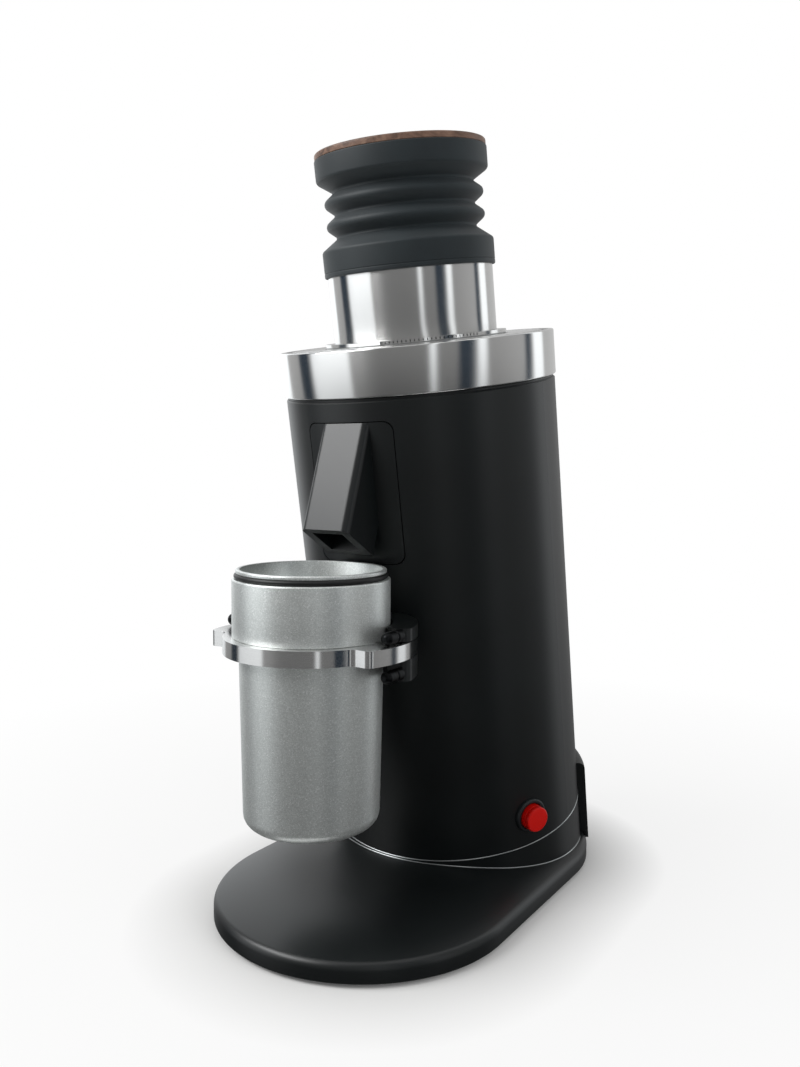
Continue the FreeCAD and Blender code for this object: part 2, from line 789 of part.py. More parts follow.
# Mains inlet: flanged socket with three blades
inlet_frame = facing(180, d.inlet_level)
inlet_socket = new_body("inlet_socket", inlet_frame)
socket_block = new_sketch(inlet_socket, "socket_block", "XY_Plane", boss_face)
outline(socket_block, rectangle(-d.inlet_half, -d.inlet_rise, d.inlet_half, d.inlet_rise))
pad(inlet_socket, socket_block, d.inlet_depth, reverse=True)
socket_flange = new_sketch(inlet_socket, "socket_flange", "XY_Plane", boss_face)
flange_reach = d.inlet_flange_edge + d.small_head_radius
outline(socket_flange, *rounded(d.inlet_half + flange_reach, -d.inlet_rise - d.inlet_flange_rise,
                                d.inlet_rise + d.inlet_flange_rise, d.small_head_radius))
pad(inlet_socket, socket_flange, d.inlet_flange)
socket_mouth = new_sketch(inlet_socket, "socket_mouth", "XY_Plane", boss_face + d.inlet_flange)
outline(socket_mouth, rectangle(-d.inlet_half + d.inlet_wall, -d.inlet_rise + d.inlet_wall,
                                d.inlet_half - d.inlet_wall, d.inlet_rise - d.inlet_wall))
pocket(inlet_socket, socket_mouth, d.inlet_depth + d.inlet_flange - d.inlet_wall, reverse=False)
drill(inlet_socket, "flange_holes", inlet_screw_places, d.small_screw_radius + d.seat_gap, boss_face, d.inlet_flange)
keep("inlet_socket", inlet_socket)

inlet_pins = new_body("inlet_pins", inlet_frame)
socket_floor = boss_face - d.inlet_depth + d.inlet_wall
blades = new_sketch(inlet_pins, "blades", "XY_Plane", socket_floor)
for x, y in ((0, d.pin_thin), (-d.pin_spread, -d.pin_thin), (d.pin_spread, -d.pin_thin)):
    left = x - d.pin_thin / 2 if isinstance(x, Size) else -d.pin_thin / 2
    outline(blades, rectangle(left, y - d.pin_wide / 2, left + d.pin_thin, y + d.pin_wide / 2))
pad(inlet_pins, blades, d.pin_length)
keep("inlet_pins", inlet_pins)
screws("inlet_screws", inlet_frame, inlet_screw_places, boss_face + d.inlet_flange,
       d.inlet_flange + inlet_screw_grip, d.small_screw_radius, d.small_head_radius, d.small_head_height)

# Power button, its bezel and the switch behind it
button_frame = facing(d.button_angle, d.button_level)
bezel_low = d.body_radius - d.spotface
bezel_top = bezel_low + d.bezel_height
bezel_foot = bezel_low - d.bezel_neck
keep("button_bezel", turned("button_bezel", button_frame, [
    (bezel_bore, bezel_foot), (neck_radius, bezel_foot), (neck_radius, bezel_low),
    (d.bezel_radius, bezel_low), (d.bezel_radius, bezel_top - d.bezel_chamfer),
    (d.bezel_radius - d.bezel_chamfer, bezel_top),
    (bezel_bore, bezel_top),
]))
nut_top = root(shell_inner * shell_inner - d.switch_nut_radius * d.switch_nut_radius) - d.seat_gap
keep("switch_nut", turned("switch_nut", button_frame, rectangle(
    neck_radius + d.run_gap, nut_top - d.switch_nut_height, d.switch_nut_radius, nut_top)))
switch_bore = d.button_stem + d.face_gap
switch_bore_low = bezel_foot - d.switch_length * 0.55
keep("switch_body", turned("switch_body", button_frame, [
    (0, bezel_foot - d.switch_length), (d.switch_radius, bezel_foot - d.switch_length),
    (d.switch_radius, bezel_foot), (switch_bore, bezel_foot), (switch_bore, switch_bore_low),
    (0, switch_bore_low),
]))
button_face = bezel_top + d.button_stand
cap_low = button_face - d.button_cap
groove_level = bezel_top + d.button_stand * 0.45
stem_low = switch_bore_low + d.button_travel + d.face_gap * 2
keep("power_button", turned("power_button", button_frame, [
    (0, stem_low), (d.button_stem, stem_low), (d.button_stem, cap_low), (d.button_radius, cap_low),
    (d.button_radius, groove_level), (d.button_radius - d.button_groove, groove_level),
    (d.button_radius - d.button_groove, groove_level + d.button_groove),
    (d.button_radius, groove_level + d.button_groove), (d.button_radius, button_face - d.button_chamfer),
    (d.button_radius - d.button_chamfer, button_face), (0, button_face),
]))


def spring(name, frame, low, high, radius, wire, turns):
    # Open coil spring between two seats
    helix = doc.addObject("Part::Helix", name + "_path")
    height = high - low - wire - d.spring_end_gap * 2
    bind(helix, "Height", height)
    bind(helix, "Pitch", height / turns)
    bind(helix, "Radius", radius)
    start = frame.multiply(shift(0, 0, low + wire / 2 + d.spring_end_gap))
    helix.Placement = start
    section = doc.addObject("Part::Circle", name + "_wire")
    bind(section, "Radius", wire / 2)
    section.Placement = start.multiply(Placement(Vector(number(radius), 0, 0), Rotation(Vector(1, 0, 0), 90)))
    sweep = doc.addObject("Part::Sweep", name)
    sweep.Sections = [section]
    sweep.Spine = (helix, ["Edge1"])
    sweep.Solid = True
    sweep.Frenet = True
    return sweep


keep("button_spring", spring("button_spring", button_frame, bezel_foot, cap_low,
                             (d.button_stem + d.button_radius) / 2, d.spring_wire,
                             (cap_low - bezel_foot) / d.spring_pitch))

# Capacitor lying across the chassis, held by a strap
capacitor_level = d.chassis_height + d.clip_wall + d.capacitor_radius + d.seat_gap
across = Placement(Vector(), Rotation(Vector(0, 1, 0), 90))
capacitor_offset = shell_inner - d.capacitor_inset - d.capacitor_radius
corner_rod = polar(rod_circle, rod_angles[0])[0] - d.rod_radius
capacitor_shift = corner_rod - d.capacitor_rod_gap - d.capacitor_length / 2
capacitor_frame = leaning.multiply(shift(-capacitor_shift, -capacitor_offset, capacitor_level)).multiply(across)
keep("capacitor", turned("capacitor", capacitor_frame, [
    (0, d.capacitor_length / -2), (d.capacitor_radius, d.capacitor_length / -2),
    (d.capacitor_radius, d.capacitor_length / 2 - d.capacitor_chamfer),
    (d.capacitor_radius - d.capacitor_chamfer, d.capacitor_length / 2),
    (0, d.capacitor_length / 2),
]))
capacitor_clip = new_body("capacitor_clip", capacitor_frame)
clip_inner = d.capacitor_radius + d.seat_gap
clip_outer = clip_inner + d.clip_wall
strap = new_sketch(capacitor_clip, "clip_foot", "XY_Plane")
outline(strap, rectangle(capacitor_level - d.chassis_height - d.clip_wall, -clip_outer - d.small_head_radius * 2,
                         capacitor_level - d.chassis_height, clip_outer + d.small_head_radius * 2))
pad(capacitor_clip, strap, d.clip_width, both=True)
hoop = new_sketch(capacitor_clip, "clip_hoop", "XY_Plane")
circles(hoop, [(0, 0)], clip_outer)
pad(capacitor_clip, hoop, d.clip_width, both=True)
hollow = new_sketch(capacitor_clip, "clip_hollow", "XY_Plane")
circles(hollow, [(0, 0)], clip_inner)
pocket(capacitor_clip, hollow, d.clip_width * 2, both=True)
keep("capacitor_clip", capacitor_clip)


# Motor: two end bells, stator, windings, rotor, shaft, bearings and fan
def bell(name, face, way):
    # End bell with a bearing seat; way is +1 when the bell opens upwards from its outer face
    hub_radius = d.bearing_radius + d.hub_wall

    def level(depth):
        return face + depth if way > 0 else face - depth

    points = [
        (d.bearing_radius - d.race_wall - d.bell_bore_gap, face), (stator_radius, face), (stator_radius, level(d.bell_height)),
        (stator_radius - d.bell_rim, level(d.bell_height)), (stator_radius - d.bell_rim, level(d.bell_plate)),
        (hub_radius, level(d.bell_plate)), (hub_radius, level(d.bearing_lip + d.bearing_height)),
        (d.bearing_radius, level(d.bearing_lip + d.bearing_height)), (d.bearing_radius, level(d.bearing_lip)),
        (d.bearing_radius - d.race_wall - d.bell_bore_gap, level(d.bearing_lip)),
    ]
    body = turned(name, leaning, points)
    bolt_low = face if way > 0 else face - d.bell_height
    drill(body, name + "_bolt_holes", bolt_places, d.small_screw_radius + d.seat_gap, bolt_low, d.bell_height)
    vents = new_sketch(body, name + "_vent", "XY_Plane", bolt_low)
    circles(vents, [polar((hub_radius + stator_radius) / 2, 90)], d.hub_wall)
    around(body, pocket(body, vents, d.bell_height), 6)
    return keep(name, body)


bolt_circle = stator_radius - d.motor_bolt_inset
bolt_places = [polar(bolt_circle, angle) for angle in (15, 105, 195, 285)]
bell("motor_lower_bell", bell_low, 1)
motor_upper_bell = bell("motor_upper_bell", chamber_low, -1)

stator_bore = stator_radius - d.stator_depth
stator_core = turned("stator_core", leaning, rectangle(stator_bore, stator_low, stator_radius, stator_high))
drill(stator_core, "stator_bolt_holes", bolt_places, d.small_screw_radius + d.seat_gap, stator_low,
      stator_high - stator_low)
keep("stator_core", stator_core)

winding_outer = stator_radius - d.bell_rim - d.winding_gap
winding_inner = winding_outer - d.winding_depth
stator_windings = new_body("stator_windings", leaning)
for name, low in (("lower_winding", stator_low - d.winding_height), ("upper_winding", stator_high)):
    winding = new_sketch(stator_windings, name)
    outline(winding, rectangle(winding_inner, low, winding_outer, low + d.winding_height))
    revolve(stator_windings, winding)
keep("stator_windings", stator_windings)

screws("motor_bolts", leaning.multiply(Placement(Vector(0, 0, number(bell_low)), Rotation(Vector(1, 0, 0), 180))),
       [(x, -y) for x, y in bolt_places], 0, chamber_low - bell_low - d.face_gap,
       d.small_screw_radius, d.small_head_radius, d.bolt_head_height)

rotor_radius = stator_bore - d.rotor_gap
keep("rotor_core", turned("rotor_core", leaning, rectangle(
    d.shaft_radius, stator_low + d.rotor_step, rotor_radius, stator_high - d.rotor_step)))
shaft_end = lower_burr_low + d.shaft_top
keep("motor_shaft", turned("motor_shaft", leaning, [
    (0, fan_low), (d.bearing_bore, fan_low), (d.bearing_bore, lower_bearing + d.bearing_height),
    (d.shaft_radius, lower_bearing + d.bearing_height), (d.shaft_radius, upper_bearing),
    (d.bearing_bore, upper_bearing), (d.bearing_bore, shaft_end), (0, shaft_end),
]))

inner_races, outer_races = new_body("bearing_inner_races", leaning), new_body("bearing_outer_races", leaning)
race_inner = d.bearing_bore + d.race_wall
race_outer = d.bearing_radius - d.race_wall
balls = []
ball_radius = (race_outer - race_inner) / 2 - d.run_gap
ball_circle = (race_outer + race_inner) / 2
for place, low in (("lower", lower_bearing), ("upper", upper_bearing)):
    for body, near, far in ((inner_races, d.bearing_bore, race_inner), (outer_races, race_outer, d.bearing_radius)):
        race = new_sketch(body, "%s_%s" % (body.Name, place))
        outline(race, rectangle(near, low, far, low + d.bearing_height))
        revolve(body, race)
    for index in range(8):
        x, y = polar(ball_circle, index * 45)
        ball = doc.addObject("Part::Sphere", "%s_ball_%d" % (place, index))
        bind(ball, "Radius", ball_radius)
        ball.Placement = leaning.multiply(shift(x, y, low + d.bearing_height / 2))
        balls.append(ball)
keep("bearing_inner_races", inner_races)
keep("bearing_outer_races", outer_races)
keep("bearing_balls", group("bearing_balls", balls))

cooling_fan = turned("cooling_fan", leaning, [
    (d.bearing_bore, fan_low), (d.fan_hub, fan_low), (d.fan_hub, fan_high - d.fan_plate),
    (d.fan_radius, fan_high - d.fan_plate), (d.fan_radius, fan_high), (d.bearing_bore, fan_high),
])
blade = new_sketch(cooling_fan, "fan_blade", "XY_Plane", fan_low)
outline(blade, rectangle(d.fan_blade / -2, -d.fan_radius, d.fan_blade / 2, -d.fan_hub + d.fan_blade))
around(cooling_fan, pad(cooling_fan, blade, d.fan_height - d.fan_plate), 9)
keep("cooling_fan", cooling_fan)

# Grinding chamber: a deep cup whose flange sits on the shell and whose neck carries the dial
snap_low = flange_top + d.snap_level
snap_high = snap_low + d.snap_height
grind_chamber = turned("grind_chamber", leaning, [
    (d.seal_hole, chamber_low), (chamber_radius, chamber_low), (chamber_radius, d.shell_length),
    (d.body_radius - d.chamber_flange_inset, d.shell_length), (d.body_radius - d.chamber_flange_inset, flange_top),
    (neck_outer, flange_top), (neck_outer, snap_low - d.seat_gap), (neck_outer - d.snap_depth, snap_low - d.seat_gap),
    (neck_outer - d.snap_depth, snap_high + d.seat_gap), (neck_outer, snap_high + d.seat_gap),
    (neck_outer, neck_top), (neck_inner, neck_top), (neck_inner, ledge_level), (sweep_radius, ledge_level),
    (sweep_radius, floor_top), (d.seal_hole, floor_top),
])
drill(grind_chamber, "rod_holes", rod_places, d.rod_radius, chamber_low, d.rod_grip)
guide_places = [polar(guide_circle, angle) for angle in (60, 180, 300)]
drill(grind_chamber, "guide_holes", guide_places, d.guide_pin_radius, ledge_level - d.guide_pin_seat, d.guide_pin_seat)
port = new_sketch(grind_chamber, "chamber_port")
port_low = floor_top + d.port_low
outline(port, rectangle(-d.port_half, port_low, d.port_half, port_low + d.port_height))
pocket(grind_chamber, port, d.body_radius)
motor_screw_circle = (d.bearing_radius + d.hub_wall + stator_radius) / 2
motor_screw_places = [polar(motor_screw_circle, angle) for angle in (30, 150, 270)]
motor_screw_grip = d.chamber_floor - d.small_head_height - d.face_gap + d.bell_plate * 0.8
drill(grind_chamber, "motor_screw_holes", motor_screw_places, d.small_screw_radius + d.seat_gap, chamber_low,
      d.chamber_floor)
drill(grind_chamber, "motor_screw_heads", motor_screw_places, d.small_head_radius + d.seat_gap,
      floor_top - d.small_head_height - d.face_gap, d.small_head_height + d.face_gap)
keep("grind_chamber", grind_chamber)
drill(motor_upper_bell, "motor_screw_seats", motor_screw_places, d.small_screw_radius,
      chamber_low - d.bell_plate, d.bell_plate)
screws("motor_screws", leaning, motor_screw_places, floor_top - d.small_head_height - d.face_gap, motor_screw_grip,
       d.small_screw_radius, d.small_head_radius, d.small_head_height)
keep("shaft_seal", turned("shaft_seal", leaning, rectangle(
    d.bearing_bore + d.run_gap, chamber_low + d.face_gap, d.seal_hole, floor_top - d.face_gap)))

# Snap ring that keeps the dial on the chamber's neck
snap_ring = new_body("snap_ring", leaning)
snap_section = new_sketch(snap_ring, "snap_section", turn=8)
outline(snap_section, rectangle(neck_outer - d.snap_depth + d.seat_gap, snap_low,
                                neck_outer + d.snap_depth - d.seat_gap, snap_high))
revolve(snap_ring, snap_section, 344.0)
keep("snap_ring", snap_ring)

# Adjusting dial that turns on the neck and drives the upper burr carrier by its thread
dial_radius = d.body_radius + d.dial_margin
dial_bore = neck_outer + d.face_gap
keep("adjust_dial", turned("adjust_dial", leaning, [
    (dial_bore, dial_low), (dial_radius - d.dial_chamfer, dial_low), (dial_radius, dial_low + d.dial_chamfer),
    (dial_radius, dial_top - d.dial_chamfer), (dial_radius - d.dial_chamfer, dial_top),
    (thread_radius + d.run_gap, dial_top), (thread_radius + d.run_gap, neck_top + d.face_gap),
    (dial_bore, neck_top + d.face_gap), (dial_bore, snap_high + d.face_gap),
    (dial_bore + d.snap_depth, snap_high + d.face_gap), (dial_bore + d.snap_depth, snap_low - d.face_gap),
    (dial_bore, snap_low - d.face_gap),
]))

# Lower burr on its carrier, clamped by the auger nut
lower_burr_carrier = turned("lower_burr_carrier", leaning, rectangle(
    d.bearing_bore, carrier_low, lower_carrier_radius, lower_burr_low))
wiper = new_sketch(lower_burr_carrier, "wiper", "XY_Plane", carrier_low)
outline(wiper, rectangle(d.wiper_width / -2, -lower_carrier_radius, d.wiper_width / 2,
                         d.wiper_length - lower_carrier_radius))
around(lower_burr_carrier, pad(lower_burr_carrier, wiper, d.carrier_lift - d.face_gap, reverse=True), 3)
burr_screw_circle = (d.burr_bore + burr_radius) / 2
burr_screw_places = [polar(burr_screw_circle, angle) for angle in (0, 120, 240)]
drill(lower_burr_carrier, "lower_screw_seats", burr_screw_places, d.small_screw_radius, carrier_low,
      d.lower_carrier_height)
keep("lower_burr_carrier", lower_burr_carrier)


def burr(name, back, way):
    # Flat burr ring whose cutting face slopes in towards the bore; teeth are radial cuts
    def level(depth):
        return back + depth if way > 0 else back - depth

    body = turned(name, leaning, [
        (d.burr_bore, back), (burr_radius, back), (burr_radius, level(d.burr_height)),
        (burr_screw_circle, level(d.burr_height)), (d.burr_bore, level(d.burr_height - d.burr_slope)),
    ])
    tooth = new_sketch(body, name + "_tooth", "XY_Plane", level(d.burr_height))
    outline(tooth, [
        (-d.burr_bore * 0.06, -d.burr_bore * 0.9), (d.burr_bore * 0.06, -d.burr_bore * 0.9),
        (burr_radius * 0.16, -burr_radius * 1.05), (burr_radius * 0.13, -burr_radius * 1.05),
    ])
    around(body, pocket(body, tooth, d.burr_slope * 1.3, reverse=way < 0), 24)
    low = back if way > 0 else back - d.burr_height
    drill(body, name + "_screw_holes", burr_screw_places, d.small_screw_radius + d.seat_gap, low, d.burr_height)
    sunk = d.small_head_height + d.burr_slope * 1.5
    head_low = low + d.burr_height - sunk if way > 0 else low
    drill(body, name + "_screw_heads", burr_screw_places, d.small_head_radius + d.seat_gap, head_low, sunk)
    keep(name, body)
    return sunk


sunk_depth = burr("lower_burr", lower_burr_low, 1)
burr_screw_grip = d.burr_height - sunk_depth + d.lower_carrier_height * 0.8
screws("lower_burr_screws", leaning, burr_screw_places, lower_burr_low + d.burr_height - sunk_depth, burr_screw_grip,
       d.small_screw_radius, d.small_head_radius, d.small_head_height)
bean_auger = turned("bean_auger", leaning, [
    (d.bearing_bore, lower_burr_low), (d.auger_radius, lower_burr_low), (d.auger_tip, lower_burr_low + d.auger_height),
    (0, lower_burr_low + d.auger_height), (0, shaft_end), (d.bearing_bore, shaft_end),
])
keep("bean_auger", bean_auger)

# Upper burr on its carrier, which slides on guide pins and follows the dial's thread
burr("upper_burr", upper_carrier_low, -1)
sleeve_top = dial_top - d.seat_gap
carrier_throat = d.burr_bore + d.throat_edge
upper_burr_carrier = turned("upper_burr_carrier", leaning, [
    (carrier_throat, upper_carrier_low), (neck_inner - d.upper_carrier_edge, upper_carrier_low),
    (neck_inner - d.upper_carrier_edge, upper_carrier_low + d.upper_carrier_height),
    (thread_radius, upper_carrier_low + d.upper_carrier_height), (thread_radius, sleeve_top),
    (disc_radius - d.disc_edge, sleeve_top), (disc_radius - d.disc_edge, disc_low), (throat_radius, disc_low),
    (carrier_throat, upper_carrier_low + d.upper_carrier_height * 0.8),
])
drill(upper_burr_carrier, "guide_bores", guide_places, d.guide_pin_radius + d.run_gap, upper_carrier_low,
      d.upper_carrier_height)
drill(upper_burr_carrier, "upper_screw_seats", burr_screw_places, d.small_screw_radius, upper_carrier_low,
      d.lower_carrier_height * 0.8 + d.face_gap)
collar_screw_circle = collar_radius - d.small_screw_radius - d.stud_edge
collar_screw_places = [polar(collar_screw_circle, angle) for angle in (45, 165, 285)]
collar_screw_grip = d.disc_height + d.upper_carrier_height
drill(upper_burr_carrier, "collar_screw_seats", collar_screw_places, d.small_screw_radius,
      disc_low - d.upper_carrier_height, d.upper_carrier_height)
keep("upper_burr_carrier", upper_burr_carrier)
under_carrier = leaning.multiply(Placement(
    Vector(0, 0, number(upper_carrier_low - d.burr_height + sunk_depth)), Rotation(Vector(1, 0, 0), 180)))
screws("upper_burr_screws", under_carrier, [(x, -y if isinstance(y, Size) else y) for x, y in burr_screw_places],
       0, burr_screw_grip, d.small_screw_radius, d.small_head_radius, d.small_head_height)

guide_pins = new_body("guide_pins", leaning)
pins = new_sketch(guide_pins, "pins", "XY_Plane", ledge_level - d.guide_pin_seat)
circles(pins, guide_places, d.guide_pin_radius)
pad(guide_pins, pins, d.guide_pin_seat + upper_carrier_low - ledge_level + d.upper_carrier_height * 0.8)
keep("guide_pins", guide_pins)
carrier_spring_list = []
for index, (x, y) in enumerate(guide_places):
    carrier_spring_list.append(spring(
        "carrier_spring_%d" % index, leaning.multiply(shift(x, y, 0)), ledge_level, upper_carrier_low,
        d.guide_pin_radius + d.carrier_spring_wire, d.carrier_spring_wire, d.carrier_spring_turns))
keep("carrier_springs", group("carrier_springs", carrier_spring_list))

# Scale disc with a pointer tab, and the hopper collar above it
scale_disc = turned("scale_disc", leaning, rectangle(throat_radius, disc_low, disc_radius, collar_low))
tab = new_sketch(scale_disc, "pointer_tab", turn=d.tab_angle)
outline(tab, rectangle(-d.tab_half, disc_low, d.tab_half, collar_low))
pad(scale_disc, tab, disc_radius + d.tab_length)
clear_throat = new_sketch(scale_disc, "disc_throat", "XY_Plane", disc_low)
circles(clear_throat, [(0, 0)], throat_radius)
pocket(scale_disc, clear_throat, d.disc_height)
drill(scale_disc, "disc_holes", collar_screw_places, d.small_screw_radius + d.seat_gap, disc_low, d.disc_height)
keep("scale_disc", scale_disc)

hopper_collar = turned("hopper_collar", leaning, [
    (throat_radius, collar_low), (collar_radius, collar_low), (collar_radius, collar_top - d.collar_chamfer),
    (collar_radius - d.collar_chamfer, collar_top), (throat_radius, collar_top),
])
collar_screw_seat = d.collar_height * 0.15
drill(hopper_collar, "collar_holes", collar_screw_places, d.small_screw_radius, collar_low, collar_screw_seat)
keep("hopper_collar", hopper_collar)
collar_studs = new_body("collar_studs", leaning)
studs = new_sketch(collar_studs, "studs", "XY_Plane", disc_low - d.upper_carrier_height + d.face_gap)
circles(studs, collar_screw_places, d.small_screw_radius)
pad(collar_studs, studs, collar_screw_grip + collar_screw_seat - d.face_gap * 2)
keep("collar_studs", collar_studs)

# Bellows: cuff on the collar, folds between, cap on top
cuff_inner = collar_radius + d.seat_gap
cuff_radius = cuff_inner + d.soft_wall
keep("bellows_cuff", turned("bellows_cuff", leaning, [
    (cuff_inner, cuff_low), (cuff_radius, cuff_low), (cuff_radius, cuff_top),
    (throat_radius, cuff_top), (throat_radius, collar_top + d.face_gap), (cuff_inner, collar_top + d.face_gap),
]))
fold_count = 2
folds_low = cuff_top + d.cone_rise
folds_high = folds_low + d.fold_pitch * fold_count
cap_low_level = folds_high + d.cap_cone
outer_line = [(cuff_radius, cuff_top), (groove_radius, folds_low)]
for index in range(fold_count):
    outer_line.append((fold_radius, folds_low + d.fold_pitch * (index + 0.5)))
    outer_line.append((groove_radius, folds_low + d.fold_pitch * (index + 1)))
bellows_top = cap_low_level - d.face_gap
outer_line.append((cap_radius, bellows_top))
inner_line = [(radius - d.soft_wall * 1.6, level) for radius, level in outer_line]
keep("bellows", turned("bellows", leaning, outer_line + inner_line[::-1]))
cap_inner = cap_radius - d.cap_wall
cap_top = cap_low_level + d.cap_height
keep("bellows_cap", turned("bellows_cap", leaning, rectangle(cap_inner, cap_low_level, cap_radius, cap_top)))

lid_low = cap_top + d.run_gap
lid_radius = cap_radius - d.lid_inset
plug_radius = cap_inner - d.face_gap
seal_low = lid_low - d.plug_height * 0.5 - d.lid_seal_height / 2
keep("wood_lid", turned("wood_lid", leaning, [
    (0, lid_low - d.plug_height), (plug_radius, lid_low - d.plug_height), (plug_radius, seal_low),
    (plug_radius - d.lid_seal_depth, seal_low), (plug_radius - d.lid_seal_depth, seal_low + d.lid_seal_height),
    (plug_radius, seal_low + d.lid_seal_height), (plug_radius, lid_low), (lid_radius, lid_low),
    (lid_radius, lid_low + d.lid_height - d.lid_chamfer), (lid_radius - d.lid_chamfer, lid_low + d.lid_height),
    (0, lid_low + d.lid_height),
]))
keep("lid_seal", turned("lid_seal", leaning, rectangle(
    plug_radius - d.lid_seal_depth, seal_low, cap_inner - d.run_gap, seal_low + d.lid_seal_height)))

# Chute: curved flange in the shell's window, a snout that leans out, a spigot in the chamber's port
chute_top = flange_high
chute_face = d.body_radius + d.face_gap
lip = (-d.body_radius - d.lip_out, chute_top - d.chute_fall)
heel = (lip[0] + d.outlet_back, lip[1] - d.outlet_drop)
run_out = (lip[0] + chute_face) / -1
slope = run_out / d.chute_fall
flange_prism = new_body("chute_flange_prism", leaning)
flange_outline = new_sketch(flange_prism, "flange_outline")
outline(flange_outline, *rounded(d.flange_half, flange_low, flange_high, d.flange_corner))
pad(flange_prism, flange_outline, d.body_radius * 1.1)
flange_tube = turned("chute_flange_tube", leaning, rectangle(
    shell_inner + d.seat_gap, flange_low - d.flange_corner, d.body_radius,
    flange_high + d.flange_corner))
chute_flange = common("chute_flange", flange_tube, flange_prism)
snout = new_body("chute_snout", leaning)
snout_side = new_sketch(snout, "snout_side", "YZ_Plane")
outline(snout_side, [
    (-chute_face, chute_top), lip, heel, (-shell_inner - d.seat_gap, heel[1] - (heel[0] + shell_inner) / slope),
    (-shell_inner - d.seat_gap, chute_top),
])
pad(snout, snout_side, d.chute_half * 2, both=True)


def snout_edge(edge):
    # The two long front edges and the two side edges of the outlet's front lip
    middle = edge.CenterOfMass
    along = edge.tangentAt(edge.FirstParameter)
    side = abs(abs(middle.x) - number(d.chute_half)) < 0.05
    front = abs(middle.y - (number(lip[0]) - number(chute_face)) / 2) < 0.2
    return side and front and abs(along.x) < 0.01


soften(snout, "snout_round", d.chute_round, snout_edge)
spigot = new_body("chute_spigot", leaning)
spigot_outline = new_sketch(spigot, "spigot_outline", offset=shell_inner - d.spigot_reach)
spigot_half = d.port_half - d.seat_gap
spigot_low = port_low + d.seat_gap
spigot_high = port_low + d.port_height - d.seat_gap
outline(spigot_outline, rectangle(-spigot_half, spigot_low, spigot_half, spigot_high))
pad(spigot, spigot_outline, d.spigot_reach + d.shell_wall * 0.6)
passage = new_body("chute_passage", leaning)
passage_side = new_sketch(passage, "passage_side", "YZ_Plane")
duct_low = spigot_low + d.spigot_wall
duct_high = spigot_high - d.spigot_wall
wall_step = root(slope * slope + 1) * d.chute_wall
front_at_duct = -chute_face - (chute_top - duct_high) * slope + wall_step
mouth_low = heel[1] - d.outlet_drop
front_at_mouth = -chute_face - (chute_top - mouth_low) * slope + wall_step
rear_at_mouth = heel[0] - d.outlet_drop * slope - wall_step
rear_at_duct = rear_at_mouth + (duct_low - mouth_low) * slope
outline(passage_side, [
    (d.spigot_reach * 1.2 - shell_inner, duct_low), (rear_at_duct, duct_low), (rear_at_mouth, mouth_low),
    (front_at_mouth, mouth_low), (front_at_duct, duct_high), (d.spigot_reach * 1.2 - shell_inner, duct_high),
])
pad(passage, passage_side, d.passage_half * 2, both=True)
keep("chute", cut("chute", fuse("chute_outside", [chute_flange, snout, spigot]), passage))

# Slotted screen at the chamber end of the spigot, which breaks up clumps
screen_face = shell_inner - d.spigot_reach
clump_screen = new_body("clump_screen", leaning)
screen = new_sketch(clump_screen, "screen_plate", offset=screen_face - d.screen_height)
outline(screen, rectangle(-spigot_half, spigot_low, spigot_half, spigot_high))
pad(clump_screen, screen, d.screen_height)
slots = new_sketch(clump_screen, "screen_slots", offset=screen_face - d.screen_height)
for index in (-2, -1, 0, 1, 2):
    centre = d.screen_slot * (index * 1.8)
    outline(slots, rectangle(centre - d.screen_slot / 2, duct_low, centre + d.screen_slot / 2, duct_high))
pocket(clump_screen, slots, d.screen_height)
keep("clump_screen", clump_screen)

# Fork: two jaws round the back of the cup, joined by a spine and fitted to the shell
fork_inner = d.cup_radius + d.fork_gap
ear_radius = fork_inner + d.jaw_width
tip_stem = d.tip_radius / 2
fork_sine, fork_cosine = sine(d.fork_angle), cosine(d.fork_angle)
jaw_points = [
    (ear_radius * fork_sine, ear_radius * fork_cosine), (-ear_radius * fork_sine, ear_radius * fork_cosine),
    (-fork_inner * fork_sine, fork_inner * fork_cosine), (fork_inner * fork_sine, fork_inner * fork_cosine),
]
fork_body = new_body("fork_body", cup_frame)
for name, low, height in (("lower_jaw_plan", lower_jaw_low, d.lower_jaw), ("upper_jaw_plan", upper_jaw_low, d.upper_jaw)):
    jaw = new_sketch(fork_body, name, "XY_Plane", low)
    outline(jaw, jaw_points, {0: ear_radius, 2: -fork_inner})
    pad(fork_body, jaw, height)
spine = new_sketch(fork_body, "fork_spine", "XY_Plane", lower_jaw_low)
outline(spine, rectangle(-d.spine_half, d.ring_rear + d.spine_gap, d.spine_half, d.spine_reach))
pad(fork_body, spine, upper_jaw_high - lower_jaw_low)
soften(fork_body, "jaw_rounding", d.jaw_width * d.jaw_round_share, lambda edge: upright_edge(edge, jaw_points))
fork_core = cylinder("fork_core", leaning, d.body_radius + d.seat_gap, d.shell_length)
tip_circle = fork_inner + d.tip_inset
tip_face = (tip_circle - d.tip_radius / fork_sine) * fork_cosine - d.seat_gap
tip_levels = (lower_jaw_low + d.lower_tip_rise, upper_jaw_low + d.upper_jaw / 2)
forward = Placement(Vector(), Rotation(Vector(1, 0, 0), 90))
tips, tip_drills = [], []
